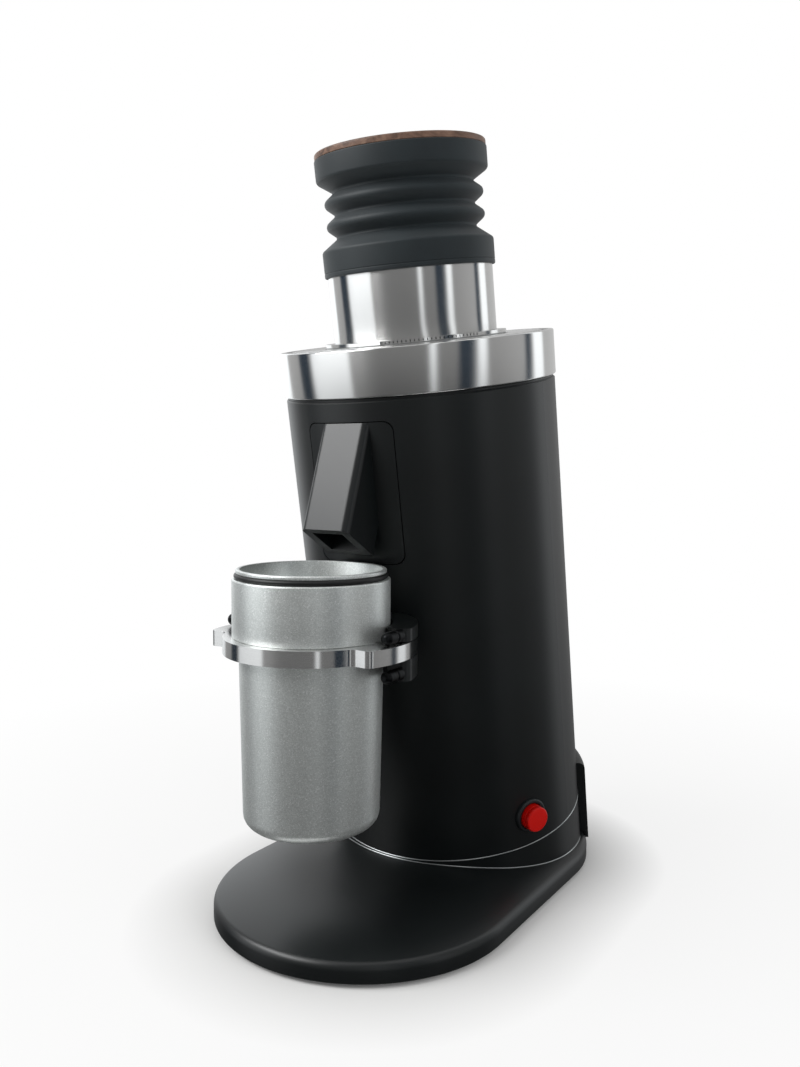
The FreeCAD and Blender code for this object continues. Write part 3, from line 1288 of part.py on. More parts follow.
for level_name, level in zip(("lower", "upper"), tip_levels):
    for side_name, side in (("right", 1), ("left", -1)):
        frame = cup_frame.multiply(shift(tip_circle * fork_sine * side, tip_face, level)).multiply(forward)
        tips.append(turned("%s_%s_tip" % (level_name, side_name), frame, [
            (0, -d.tip_seat), (tip_stem, -d.tip_seat), (tip_stem, 0), (d.tip_radius, 0),
            (d.tip_radius, d.tip_length * 0.3), (d.tip_radius - d.tip_groove, d.tip_length * 0.36),
            (d.tip_radius, d.tip_length * 0.42), (d.tip_radius, d.tip_length - d.tip_radius * 0.8),
            (d.tip_radius * 0.35, d.tip_length), (0, d.tip_length),
        ], {7: d.tip_radius}))
        tip_drills.append(cylinder("%s_%s_drill" % (level_name, side_name),
                                   frame.multiply(shift(0, 0, -d.tip_seat)), tip_stem, d.tip_seat + d.tip_radius))
fork_frames = [facing(0, level) for level in fork_screw_levels]
fork_screw_seat = root(shell_inner * shell_inner - d.screw_head_radius * d.screw_head_radius) - d.seat_gap
fork_screw_grip = d.body_radius - fork_screw_seat + d.fork_screw_bite
fork_drills = [cylinder("fork_drill_%d" % index, frame.multiply(shift(0, 0, fork_screw_seat)),
                        d.screw_radius, fork_screw_grip) for index, frame in enumerate(fork_frames)]
fork_tools = fuse("fork_tools", [fork_core] + tip_drills + fork_drills)
keep("fork_bracket", cut("fork_bracket", fork_body, fork_tools))
keep("fork_tips", group("fork_tips", tips))
fork_screw_list = []
for index, frame in enumerate(fork_frames):
    fork_screw_list.append(turned("fork_screw_%d" % index, frame, [
        (0, fork_screw_seat - d.screw_head_height), (d.screw_head_radius, fork_screw_seat - d.screw_head_height),
        (d.screw_head_radius, fork_screw_seat), (d.screw_radius, fork_screw_seat),
        (d.screw_radius, fork_screw_seat + fork_screw_grip), (0, fork_screw_seat + fork_screw_grip),
    ]))
keep("fork_screws", group("fork_screws", fork_screw_list))

# Cup: wide top part above the ring, narrower tapered part below it
ring_top = ring_level + d.ring_height
cup_low = ring_level - d.cup_drop
seal_height = d.seal_wire * 2
neck_radius_cup = d.lip_radius - d.seal_wire
lip_low = shoulder_level + seal_height
cup_top = lip_low + d.lip_height
bore_top = d.lip_radius - d.cup_wall * 0.8
bore_upper = d.cup_lower_radius - d.cup_wall
bore_foot = d.cup_foot_radius - d.cup_wall
keep("dosing_cup", turned("dosing_cup", cup_frame, [
    (0, cup_low), (d.cup_foot_radius - d.cup_round, cup_low), (d.cup_foot_radius, cup_low + d.cup_round),
    (d.cup_lower_radius, ring_top), (d.cup_radius - d.cup_chamfer, ring_top),
    (d.cup_radius, ring_top + d.cup_chamfer),
    (d.cup_radius, shoulder_level - d.cup_chamfer), (d.cup_radius - d.cup_chamfer, shoulder_level),
    (neck_radius_cup, shoulder_level), (neck_radius_cup, lip_low), (d.lip_radius, lip_low),
    (d.lip_radius, cup_top), (bore_top, cup_top), (bore_upper, cup_top - d.cup_upper * 0.4), (bore_upper, ring_top),
    (bore_foot, cup_low + d.cup_round), (bore_foot - d.cup_round * 0.6, cup_low + d.cup_floor),
    (0, cup_low + d.cup_floor),
], {1: d.cup_round}))
keep("cup_seal", turned("cup_seal", cup_frame, [
    (neck_radius_cup, shoulder_level), (neck_radius_cup + d.seal_wire, shoulder_level),
    (neck_radius_cup + d.seal_wire * 1.5, shoulder_level + d.seal_wire), (neck_radius_cup + d.seal_wire, lip_low),
    (neck_radius_cup, lip_low),
]))

cup_ring = new_body("cup_ring", cup_frame)
ring_plan = new_sketch(cup_ring, "ring_plan", "XY_Plane", ring_level)
shoulder = (d.ring_front * sine(d.shoulder_angle), d.ring_front * -1 * cosine(d.shoulder_angle))
ear = (ear_radius * sine(d.ear_angle), ear_radius * -1 * cosine(d.ear_angle))
ear_end = (ear_radius * sine(d.ear_end_angle), ear_radius * -1 * cosine(d.ear_end_angle))
rear = (d.ring_rear * sine(d.ear_end_angle), d.ring_rear * -1 * cosine(d.ear_end_angle))
right_side = [shoulder, ear, ear_end, rear]
left_side = [(-x, y) for x, y in reversed(right_side)]
outline(ring_plan, right_side + left_side,
        {1: ear_radius, 3: d.ring_rear, 5: ear_radius, 7: d.ring_front})
pad(cup_ring, ring_plan, d.ring_height)
ring_bore = new_sketch(cup_ring, "ring_bore", "XY_Plane", ring_level)
circles(ring_bore, [(0, 0)], d.cup_lower_radius + d.seat_gap)
pocket(cup_ring, ring_bore, d.ring_height)
ring_corners = [(x, y) for near in (shoulder, ear, ear_end) for x, y in (near, (-near[0], near[1]))]
ear_round = (ear_radius - d.ring_rear) * d.ear_round_share
soften(cup_ring, "ring_rounding", ear_round, lambda edge: upright_edge(edge, ring_corners))
keep("cup_ring", cup_ring)

# Every feature must have built, and every piece must be a valid solid or group of solids
doc.recompute()
faults = [thing.Label for thing in doc.Objects if "Invalid" in thing.State or "Error" in thing.State]
faults += [piece.Label for piece in pieces if piece.Shape.isNull() or not piece.Shape.isValid()
           or not piece.Shape.Solids]
if faults:
    raise RuntimeError("pieces that did not build: " + ", ".join(faults))
for piece in pieces:
    piece.Shape.exportStep("parts/%s.step" % piece.Label)
print("wrote %d pieces" % len(pieces))
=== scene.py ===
import bmesh
import bpy
import json
import math
from mathutils import Matrix, Vector


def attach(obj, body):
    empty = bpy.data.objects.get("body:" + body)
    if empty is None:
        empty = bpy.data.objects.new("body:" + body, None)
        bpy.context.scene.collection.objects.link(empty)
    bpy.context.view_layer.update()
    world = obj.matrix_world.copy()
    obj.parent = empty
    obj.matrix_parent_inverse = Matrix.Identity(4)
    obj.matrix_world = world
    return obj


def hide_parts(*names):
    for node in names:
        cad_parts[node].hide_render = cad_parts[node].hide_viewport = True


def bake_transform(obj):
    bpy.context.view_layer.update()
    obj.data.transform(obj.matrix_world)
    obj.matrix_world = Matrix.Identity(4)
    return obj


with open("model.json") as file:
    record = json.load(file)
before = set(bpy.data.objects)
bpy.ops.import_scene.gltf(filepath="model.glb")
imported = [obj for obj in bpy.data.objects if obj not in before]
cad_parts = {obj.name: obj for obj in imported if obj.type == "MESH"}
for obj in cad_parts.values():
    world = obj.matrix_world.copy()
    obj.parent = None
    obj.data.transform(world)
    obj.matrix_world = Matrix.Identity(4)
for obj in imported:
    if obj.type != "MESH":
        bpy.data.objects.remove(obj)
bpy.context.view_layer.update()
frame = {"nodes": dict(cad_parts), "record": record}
nodes = frame["nodes"]
print("frame loaded:", len(nodes), "nodes")

# pieces are drawn in millimetres in a frame of their own, and their place turns them into metres
mm = 0.001
toMetres = Matrix.Scale(mm, 4)

# the body leans forward about a point on its lower rim
stance = {"lean": 10.4, "rimBack": 41.7, "rimHeight": 26.8006, "cupFront": -71.151, "padStand": 1.5}
leanTurn = Matrix.Rotation(math.radians(stance["lean"]), 4, "X")
leanAxis = tuple(leanTurn @ Vector((0, 0, 1)))
rimPoint = Vector((0, stance["rimBack"], stance["rimHeight"])) * mm
leanPlace = Matrix.Translation(rimPoint) @ leanTurn @ toMetres
cupPlace = Matrix.Translation(Vector((0, stance["cupFront"], 0)) * mm) @ toMetres
footPlace = Matrix.Translation(Vector((0, stance["rimBack"], stance["padStand"])) * mm) @ toMetres


def leanPoint(level):
    return tuple(leanPlace @ Vector((0, 0, level)))


def facingPlace(angle, level):
    # Z points out of the body at an angle from the front, Y runs up along it
    swing = Matrix.Translation(Vector((0, 0, level))) @ Matrix.Rotation(math.radians(angle), 4, "Z")
    return leanPlace @ swing @ Matrix.Rotation(math.radians(90), 4, "X")


def hexColor(text):
    # a web colour in the linear values that shaders take
    parts = [int(text[i:i + 2], 16) / 255 for i in (1, 3, 5)]
    return tuple(c / 12.92 if c <= 0.04045 else ((c + 0.055) / 1.055) ** 2.4 for c in parts) + (1.0,)


def addObject(name, data):
    item = bpy.data.objects.new(name, data)
    bpy.context.scene.collection.objects.link(item)
    return item


def addNode(tree, kind, inputs=None, **settings):
    node = tree.nodes.new(kind)
    for key, value in settings.items():
        setattr(node, key, value)
    for key, value in (inputs or {}).items():
        if isinstance(value, bpy.types.NodeSocket):
            tree.links.new(value, node.inputs[key])
        else:
            node.inputs[key].default_value = value
    return node


def bareTree(owner):
    owner.use_nodes = True
    owner.node_tree.nodes.clear()
    return owner.node_tree


def newMaterial(name, **sockets):
    # a material with its tree, its shader and the socket that tells where on the object a point lies
    material = bpy.data.materials.new(name)
    material.use_nodes = True
    tree = material.node_tree
    shader = tree.nodes["Principled BSDF"]
    for key, value in sockets.items():
        shader.inputs[key.replace("_", " ")].default_value = value
    return material, tree, shader, addNode(tree, "ShaderNodeTexCoord").outputs["Object"]


def setRamp(node, stops):
    ramp = node.color_ramp
    while len(ramp.elements) < len(stops):
        ramp.elements.new(0.5)
    for element, (place, color) in zip(ramp.elements, stops):
        element.position = place
        element.color = color


def patternScale(size):
    # scale of a texture whose features have a size in millimetres
    return 1 / (size * mm)


def grainBump(tree, shader, spot, size, strength, depth):
    # fine even grain, size and depth in millimetres
    grain = addNode(tree, "ShaderNodeTexNoise", {"Vector": spot, "Scale": patternScale(size), "Detail": 2.0})
    bump = addNode(tree, "ShaderNodeBump", {"Height": grain.outputs["Fac"], "Strength": strength,
                                            "Distance": depth * mm})
    tree.links.new(bump.outputs["Normal"], shader.inputs["Normal"])
    return grain.outputs["Fac"]


def paint(tree, shader, pattern, stops, gloss=None, glossPattern=None):
    # the colour follows a pattern; a gloss range makes the roughness follow it too, or a pattern of its own
    tone = addNode(tree, "ShaderNodeValToRGB", {"Fac": pattern})
    setRamp(tone, [(place, hexColor(color)) for place, color in stops])
    tree.links.new(tone.outputs["Color"], shader.inputs["Base Color"])
    if gloss:
        followed = pattern if glossPattern is None else glossPattern
        rough = addNode(tree, "ShaderNodeMapRange", {"Value": followed, "To Min": gloss[0],
                                                     "To Max": gloss[1]})
        tree.links.new(rough.outputs["Result"], shader.inputs["Roughness"])


def blackAnodised():
    # bead-blasted aluminium, anodised black: even satin with a broad soft highlight
    material, tree, shader, spot = newMaterial("satin black anodised aluminium", Specular_IOR_Level=0.55)
    grain = grainBump(tree, shader, spot, size=0.45, strength=0.2, depth=0.02)
    cloud = addNode(tree, "ShaderNodeTexNoise", {"Vector": spot, "Scale": patternScale(38)})
    paint(tree, shader, cloud.outputs["Fac"], [(0.35, "#070b0c"), (0.65, "#0b1011")], gloss=(0.33, 0.41),
          glossPattern=grain)
    return material


def turnedAluminium(name, axisPoint, axis):
    # aluminium turned on a lathe and polished: rings too fine to see stretch each reflection across them
    material, tree, shader, spot = newMaterial(name, Metallic=1.0, Anisotropic=0.98)
    arm = addNode(tree, "ShaderNodeVectorMath", {0: spot, 1: axisPoint}, operation="SUBTRACT")
    around = addNode(tree, "ShaderNodeVectorMath", {0: axis, 1: arm.outputs[0]}, operation="CROSS_PRODUCT")
    inWorld = addNode(tree, "ShaderNodeVectorTransform", {"Vector": around.outputs[0]}, vector_type="VECTOR",
                      convert_from="OBJECT", convert_to="WORLD")
    surface = addNode(tree, "ShaderNodeNewGeometry")
    across = addNode(tree, "ShaderNodeVectorMath", {0: surface.outputs["Normal"], 1: inWorld.outputs[0]},
                     operation="CROSS_PRODUCT")
    tree.links.new(across.outputs[0], shader.inputs["Tangent"])
    level = addNode(tree, "ShaderNodeVectorMath", {0: spot, 1: axis}, operation="DOT_PRODUCT")
    rings = addNode(tree, "ShaderNodeTexNoise", {"W": level.outputs["Value"], "Scale": patternScale(0.3),
                                                 "Detail": 2.0}, noise_dimensions="1D")
    paint(tree, shader, rings.outputs["Fac"], [(0.3, "#dfdfde"), (0.7, "#e3e3e2")], gloss=(0.19, 0.21))
    return material


def blastedAluminium():
    # bead-blasted aluminium under a clear anodised skin that scatters light: a matt sparkle of small facets
    material, tree, shader, spot = newMaterial("bead blasted aluminium", Metallic=0.84)
    grainBump(tree, shader, spot, size=0.3, strength=0.55, depth=0.03)
    facets = addNode(tree, "ShaderNodeTexVoronoi", {"Vector": spot, "Scale": patternScale(0.3)})
    paint(tree, shader, facets.outputs["Color"], [(0.1, "#ccd0ce"), (0.75, "#e2e6e4"), (0.93, "#f8fafa")],
          gloss=(0.34, 0.46))
    return material


def siliconeRubber():
    # moulded silicone, matt with a faint dusty bloom
    material, tree, shader, spot = newMaterial("moulded black silicone", Roughness=0.6, Sheen_Weight=0.12,
                                               Sheen_Roughness=0.5)
    grainBump(tree, shader, spot, size=0.6, strength=0.3, depth=0.03)
    bloom = addNode(tree, "ShaderNodeTexNoise", {"Vector": spot, "Scale": patternScale(14), "Detail": 4.0})
    paint(tree, shader, bloom.outputs["Fac"], [(0.3, "#172024"), (0.7, "#1c262a")])
    return material


def oiledWalnut():
    # walnut sawn along the grain and oiled: long dark streaks with short pores
    material, tree, shader, spot = newMaterial("oiled walnut", Roughness=0.5)
    stretched = addNode(tree, "ShaderNodeMapping", {"Vector": spot, "Scale": (1.0, 0.08, 1.0)})
    along = stretched.outputs["Vector"]
    streaks = addNode(tree, "ShaderNodeTexNoise", {
        "Vector": along, "Scale": patternScale(3.5), "Detail": 6.0, "Distortion": 0.8})
    paint(tree, shader, streaks.outputs["Fac"], [(0.3, "#4e3a2f"), (0.52, "#735748"), (0.72, "#8c705e")])
    grainBump(tree, shader, along, size=0.5, strength=0.35, depth=0.08)
    return material


def grainedSurface(name, dark, light, grainSize=0.4, **sockets):
    # one tone, broken up by a fine moulded or machined grain
    material, tree, shader, spot = newMaterial(name, **sockets)
    grain = grainBump(tree, shader, spot, size=grainSize, strength=0.2, depth=0.02)
    paint(tree, shader, grain, [(0.3, dark), (0.7, light)])
    return material


def grainedMetal(name, dark, light, roughness, grainSize):
    # the same in bare or plated metal, which mirrors the room in its own tone
    return grainedSurface(name, dark, light, grainSize, Metallic=1.0, Roughness=roughness)


black = blackAnodised()
brightLeaning = turnedAluminium("turned aluminium, leaning axis", leanPoint(0), leanAxis)
brightUpright = turnedAluminium("turned aluminium, upright axis", tuple(cupPlace.translation), (0, 0, 1))
blasted = blastedAluminium()
silicone = siliconeRubber()
walnut = oiledWalnut()
# plastics and rubber: deep even tones with a soft shine
redPlastic = grainedSurface("gloss red polycarbonate", "#b80c05", "#c40e06", Roughness=0.28,
                            Specular_IOR_Level=0.2)
blackPlastic = grainedSurface("black glass-filled nylon", "#14181a", "#1a1f21", Roughness=0.42)
sealRubber = grainedSurface("black nitrile rubber", "#070809", "#0b0c0d", Roughness=0.45)
# metals: the bright metal of the painted seam highlights, plated and ground ones are bright, the oxide and
# the core sheets dull
# painted highlight: a bright metal used only for the seam beads that stand in for light on the chamfered
# edges
seamHighlightMetal = grainedMetal("bright metal for painted seam highlights", "#aeb2b2", "#babdbd", roughness=0.3,
                       grainSize=0.5)
plated = grainedMetal("zinc plated steel", "#9a9a98", "#b4b3b0", roughness=0.35, grainSize=1.5)
blackSteel = grainedMetal("black oxide steel", "#1b1c1d", "#262728", roughness=0.38, grainSize=1.0)
castMetal = grainedMetal("machined cast aluminium", "#a3a4a4", "#b8b9b8", roughness=0.42, grainSize=0.8)
toolSteel = grainedMetal("ground tool steel", "#8c8d8f", "#a3a4a5", roughness=0.25, grainSize=0.6)
coreIron = grainedMetal("stacked core sheet", "#4a4a4c", "#5e5e60", roughness=0.5, grainSize=0.5)
copperWire = grainedMetal("varnished copper wire", "#8a4a24", "#b06a3a", roughness=0.35, grainSize=0.9)
brassPins = grainedMetal("bare brass", "#b08a3c", "#c7a458", roughness=0.3, grainSize=0.8)
print("materials made:", len(bpy.data.materials))

slotFinish = {
    "black_anodised": black, "bright_aluminium": brightLeaning, "blasted_steel": blasted,
    "soft_black": silicone, "walnut": walnut, "red_button": redPlastic, "black_plastic": blackPlastic,
    "fastener_steel": plated, "cast_aluminium": castMetal, "tool_steel": toolSteel, "core_iron": coreIron,
    "copper": copperWire, "pin_brass": brassPins,
}
nodeFinish = {"cup_ring": brightUpright, "fork_tips": blackSteel}
for entry in frame["record"]["subparts"]:
    nodeMesh = nodes[entry["node"]].data
    nodeMesh.materials.clear()
    nodeMesh.materials.append(nodeFinish.get(entry["node"], slotFinish[entry["material_slot"]]))


# an arc takes up less than half of either side of its corner
sideShare = 0.49


def roundCorners(points, steps=5):
    # points are (x, y, corner radius); each corner becomes a short arc
    out = []
    count = len(points)
    for index, (x, y, radius) in enumerate(points):
        here = Vector((x, y))
        back = Vector(points[index - 1][:2]) - here
        ahead = Vector(points[(index + 1) % count][:2]) - here
        if radius <= 0:
            out.append(here)
            continue
        half = back.angle(ahead) / 2
        reach = min(radius / math.tan(half), back.length * sideShare, ahead.length * sideShare)
        middle = here + (back.normalized() + ahead.normalized()).normalized() * (reach / math.cos(half))
        first, last = here + back.normalized() * reach, here + ahead.normalized() * reach
        sweep = (first - middle).angle_signed(last - middle)
        arm = first - middle
        for step in range(steps + 1):
            turn = -sweep * step / steps
            out.append(middle + Vector((arm.x * math.cos(turn) - arm.y * math.sin(turn),
                                        arm.x * math.sin(turn) + arm.y * math.cos(turn))))
    return out


def startTree(name, geometry, **kinds):
    # a geometry tree with its named inputs; an underscore stands for a space
    tree = bpy.data.node_groups.new(name, "GeometryNodeTree")
    tree.interface.new_socket(geometry, in_out="INPUT", socket_type="NodeSocketGeometry")
    for label, kind in {**kinds, "Finish": "Material"}.items():
        tree.interface.new_socket(label.replace("_", " "), in_out="INPUT", socket_type="NodeSocket" + kind)
    tree.interface.new_socket("Geometry", in_out="OUTPUT", socket_type="NodeSocketGeometry")
    return tree, addNode(tree, "NodeGroupInput").outputs


def endTree(tree, given, geometry):
    # every tree ends in real geometry with its finish set
    real = addNode(tree, "GeometryNodeRealizeInstances", {"Geometry": geometry})
    finished = addNode(tree, "GeometryNodeSetMaterial", {"Geometry": real.outputs["Geometry"],
                                                         "Material": given["Finish"]})
    addNode(tree, "NodeGroupOutput", {"Geometry": finished.outputs["Geometry"]})
    return tree


def runTree(tree, name, mesh, values):
    # runs a tree on a mesh and returns its result as a plain mesh
    holder = addObject(name, mesh)
    modifier = holder.modifiers.new("tree", "NODES")
    modifier.node_group = tree
    for item in tree.interface.items_tree:
        if item.in_out == "INPUT" and item.name in values:
            modifier[item.identifier] = values[item.name]
    graph = bpy.context.evaluated_depsgraph_get()
    result = bpy.data.meshes.new_from_object(holder.evaluated_get(graph), depsgraph=graph)
    holder.modifiers.remove(modifier)
    bpy.data.objects.remove(holder)
    return result


# points closer than these become one: in a tree in millimetres, in a finished mesh in metres
joinGap = {"tree": 1e-4, "mesh": 1e-7}


def finishMesh(name, mesh, place, sharpAngle=32.0):
    # puts a mesh in its place, turns its faces outwards and shades it
    mesh.transform(place)
    shape = bmesh.new()
    shape.from_mesh(mesh)
    bmesh.ops.remove_doubles(shape, verts=shape.verts, dist=joinGap["mesh"])
    bmesh.ops.recalc_face_normals(shape, faces=shape.faces)
    for face in shape.faces:
        face.smooth = True
    shape.to_mesh(mesh)
    shape.free()
    mesh.set_sharp_from_angle(angle=math.radians(sharpAngle))
    return addObject(name, mesh)


def turnTree():
    # sweeps an outline of (radius, -level) round the Z axis
    tree, given = startTree("turnOutline", "Outline", Turn_Radius="Float", Segments="Int")
    inward = addNode(tree, "ShaderNodeMath", {0: 0.0, 1: given["Turn Radius"]}, operation="SUBTRACT")
    offset = addNode(tree, "ShaderNodeCombineXYZ", {"X": inward.outputs[0]})
    outline = addNode(tree, "GeometryNodeMeshToCurve", {"Mesh": given["Outline"]})
    moved = addNode(tree, "GeometryNodeSetPosition", {"Geometry": outline.outputs["Curve"],
                                                      "Offset": offset.outputs[0]})
    circle = addNode(tree, "GeometryNodeCurvePrimitiveCircle", {"Resolution": given["Segments"],
                                                                "Radius": given["Turn Radius"]})
    swept = addNode(tree, "GeometryNodeCurveToMesh", {"Curve": circle.outputs["Curve"],
                                                      "Profile Curve": moved.outputs["Geometry"]})
    joined = addNode(tree, "GeometryNodeMergeByDistance", {"Geometry": swept.outputs["Mesh"],
                                                           "Distance": joinGap["tree"]})
    return endTree(tree, given, joined.outputs["Geometry"])


turning = turnTree()
# the outline is moved in by the radius of the circle that carries it, so any radius gives the same piece
turnRadius = 20.0


def turnPiece(name, outline, place, finish, segments=192):
    mesh = bpy.data.meshes.new(name)
    mesh.from_pydata([(x, -y, 0) for x, y in outline],
                     [(i, (i + 1) % len(outline)) for i in range(len(outline))], [])
    values = {"Turn Radius": turnRadius, "Segments": segments, "Finish": finish}
    return finishMesh(name, runTree(turning, name, mesh, values), place)


def settle(piece, body, slot, *replaced):
    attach(piece, body)
    if replaced:
        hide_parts(*replaced)


# the edge that a file leaves on turned metal
filedEdge = 0.2

# bellows: one moulded sleeve from the cuff on the collar to the cap round the lid
bellows = {
    "cuffLow": 247.4, "cuffTop": 258.2, "collarTop": 256.3, "bore": 32.2, "seat": 35.5, "cuffRadius": 36.7,
    "groove": 29.3, "fold": 34.2, "crest": 0.9, "rise": 5.4, "pitch": 9.1, "folds": 2, "capCone": 4.5,
    "capRadius": 36.3, "capHeight": 8.5, "capWall": 4.8, "wall": 1.7, "hem": 1.7, "hemDepth": 0.25,
    "ledge": 0.4, "mouthRound": 0.3, "lipRound": 0.6, "hemRound": 0.2, "hemFloor": 0.1, "shoulderRound": 1.6,
    "grooveRound": 1.0, "foldRound": 2.2, "rimRound": 0.5, "insideGroove": 0.8, "insideFold": 1.2,
    "arcSteps": 6,
}


def bellowsOutline(b):
    low = b["cuffTop"] + b["rise"]
    capLow = low + b["pitch"] * b["folds"] + b["capCone"]
    capTop = capLow + b["capHeight"]
    hem = b["cuffLow"] + b["hem"]
    outside = [
        (b["seat"], b["cuffLow"], b["mouthRound"]), (b["cuffRadius"], b["cuffLow"], b["lipRound"]),
        (b["cuffRadius"], hem, b["hemRound"]),
        (b["cuffRadius"] - b["hemDepth"], hem + b["hemDepth"], b["hemFloor"]),
        (b["cuffRadius"], hem + b["hemDepth"] * 2, b["hemRound"]),
        (b["cuffRadius"], b["cuffTop"], b["shoulderRound"]), (b["groove"], low, b["grooveRound"]),
    ]
    inside = [(b["groove"] - b["wall"], low, b["insideGroove"])]
    for fold in range(b["folds"]):
        crest, groove = low + b["pitch"] * (fold + 0.5), low + b["pitch"] * (fold + 1)
        outside += [(b["fold"] + b["crest"], crest, b["foldRound"]), (b["groove"], groove, b["grooveRound"])]
        inside += [(b["fold"] - b["wall"], crest, b["insideFold"]),
                   (b["groove"] - b["wall"], groove, b["insideGroove"])]
    capBore = b["capRadius"] - b["capWall"]
    cap = [(b["capRadius"], capLow, b["shoulderRound"]), (b["capRadius"], capTop, b["rimRound"]),
           (capBore, capTop, b["mouthRound"]), (capBore, capLow + b["ledge"], b["rimRound"])]
    cuff = [(b["bore"], b["cuffTop"] - b["ledge"], b["rimRound"]), (b["bore"], b["collarTop"], 0),
            (b["seat"], b["collarTop"], 0)]
    return roundCorners(outside + cap + inside[::-1] + cuff, b["arcSteps"]), capLow


outline, capLow = bellowsOutline(bellows)
bellowsPiece = turnPiece("bellows_sleeve_moulded", outline, leanPlace, silicone)
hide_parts("bellows", "bellows_cuff", "bellows_cap")
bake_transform(bellowsPiece)
print("bellows turned")

# dial, collar and lid: turned pieces with fine broken edges
dial = {"low": 199.5, "top": 218.2, "radius": 59.5, "bore": 52.3, "groove": 53.8, "grooveLow": 203.4,
        "grooveTop": 205.6, "roof": 210.5, "thread": 40.3, "edge": 0.6, "segments": 256}
dialOutline = roundCorners([
    (dial["bore"], dial["low"], filedEdge), (dial["radius"], dial["low"], dial["edge"]),
    (dial["radius"], dial["top"], dial["edge"]), (dial["thread"], dial["top"], filedEdge),
    (dial["thread"], dial["roof"], 0), (dial["bore"], dial["roof"], 0), (dial["bore"], dial["grooveTop"], 0),
    (dial["groove"], dial["grooveTop"], 0), (dial["groove"], dial["grooveLow"], 0),
    (dial["bore"], dial["grooveLow"], 0),
])
settle(turnPiece("adjust_dial_turned", dialOutline, leanPlace, brightLeaning, dial["segments"]), "dial",
       "bright_aluminium", "adjust_dial")
collar = {"low": 220.0, "top": 256.0, "radius": 35.4, "bore": 32.0, "edge": 0.5, "segments": 224}
collarOutline = roundCorners([
    (collar["bore"], collar["low"], 0), (collar["radius"], collar["low"], filedEdge),
    (collar["radius"], collar["top"], collar["edge"]), (collar["bore"], collar["top"], collar["edge"]),
])
settle(turnPiece("hopper_collar_turned", collarOutline, leanPlace, brightLeaning, collar["segments"]),
       "carrier", "bright_aluminium", "hopper_collar")
lid = {"low": 294.85, "height": 2.6, "radius": 36.0, "plug": 31.2, "plugDrop": 6.0, "seal": 2.0,
       "sealDepth": 1.6, "edge": 0.8, "plugRound": 0.6, "underRound": 0.3}
lidTop, plugLow = lid["low"] + lid["height"], lid["low"] - lid["plugDrop"]
sealBore, sealLow = lid["plug"] - lid["sealDepth"], lid["low"] - lid["plugDrop"] / 2 - lid["seal"] / 2
lidOutline = roundCorners([
    (0, plugLow, 0), (lid["plug"], plugLow, lid["plugRound"]), (lid["plug"], sealLow, 0),
    (sealBore, sealLow, 0), (sealBore, sealLow + lid["seal"], 0), (lid["plug"], sealLow + lid["seal"], 0),
    (lid["plug"], lid["low"], 0), (lid["radius"], lid["low"], lid["underRound"]),
    (lid["radius"], lidTop, lid["edge"]), (0, lidTop, 0),
])
settle(turnPiece("wood_lid_turned", lidOutline, leanPlace, walnut), "lid", "walnut", "wood_lid")
print("dial, collar and lid turned")

# cup: thin lip over a rubber ring, straight top, taper below the eared ring
cup = {
    "low": 49.0, "ringTop": 122.3, "shoulder": 144.3, "lipLow": 146.3, "top": 147.8, "radius": 30.1,
    "neck": 27.6, "lip": 28.6, "lower": 27.7, "foot": 26.2, "bore": 25.7, "mouth": 27.0, "mouthDepth": 8.8,
    "floor": 51.6, "footWall": 2.0, "footRound": 5.5, "stepRound": 0.5, "shoulderRound": 0.7,
    "lipUnder": 0.3, "lipRound": 0.6, "mouthRound": 0.4, "boreRound": 2.0, "floorRound": 4.0,
    "arcSteps": 6, "segments": 224,
}
cupOutline = roundCorners([
    (0, cup["low"], 0), (cup["foot"], cup["low"], cup["footRound"]), (cup["lower"], cup["ringTop"], 0),
    (cup["radius"], cup["ringTop"], cup["stepRound"]),
    (cup["radius"], cup["shoulder"], cup["shoulderRound"]),
    (cup["neck"], cup["shoulder"], filedEdge), (cup["neck"], cup["lipLow"], filedEdge),
    (cup["lip"], cup["lipLow"], cup["lipUnder"]), (cup["lip"], cup["top"], cup["lipRound"]),
    (cup["mouth"], cup["top"], cup["mouthRound"]),
    (cup["bore"], cup["top"] - cup["mouthDepth"], cup["boreRound"]),
    (cup["foot"] - cup["footWall"], cup["floor"], cup["floorRound"]), (0, cup["floor"], 0),
], cup["arcSteps"])
settle(turnPiece("dosing_cup_blasted", cupOutline, cupPlace, blasted, cup["segments"]), "cup",
       "blasted_steel", "dosing_cup")
sealRing = {"radius": 27.95, "wire": 0.98, "proud": 0.35, "level": 145.3, "points": 20}
sealOutline = []
for point in range(sealRing["points"]):
    turn = math.tau * point / sealRing["points"]
    sealOutline.append(Vector((sealRing["radius"] + sealRing["wire"] * (sealRing["proud"] + math.cos(turn)),
                               sealRing["level"] + sealRing["wire"] * math.sin(turn))))
settle(turnPiece("cup_seal_ring", sealOutline, cupPlace, sealRubber), "cup", "soft_black", "cup_seal")
print("cup turned")

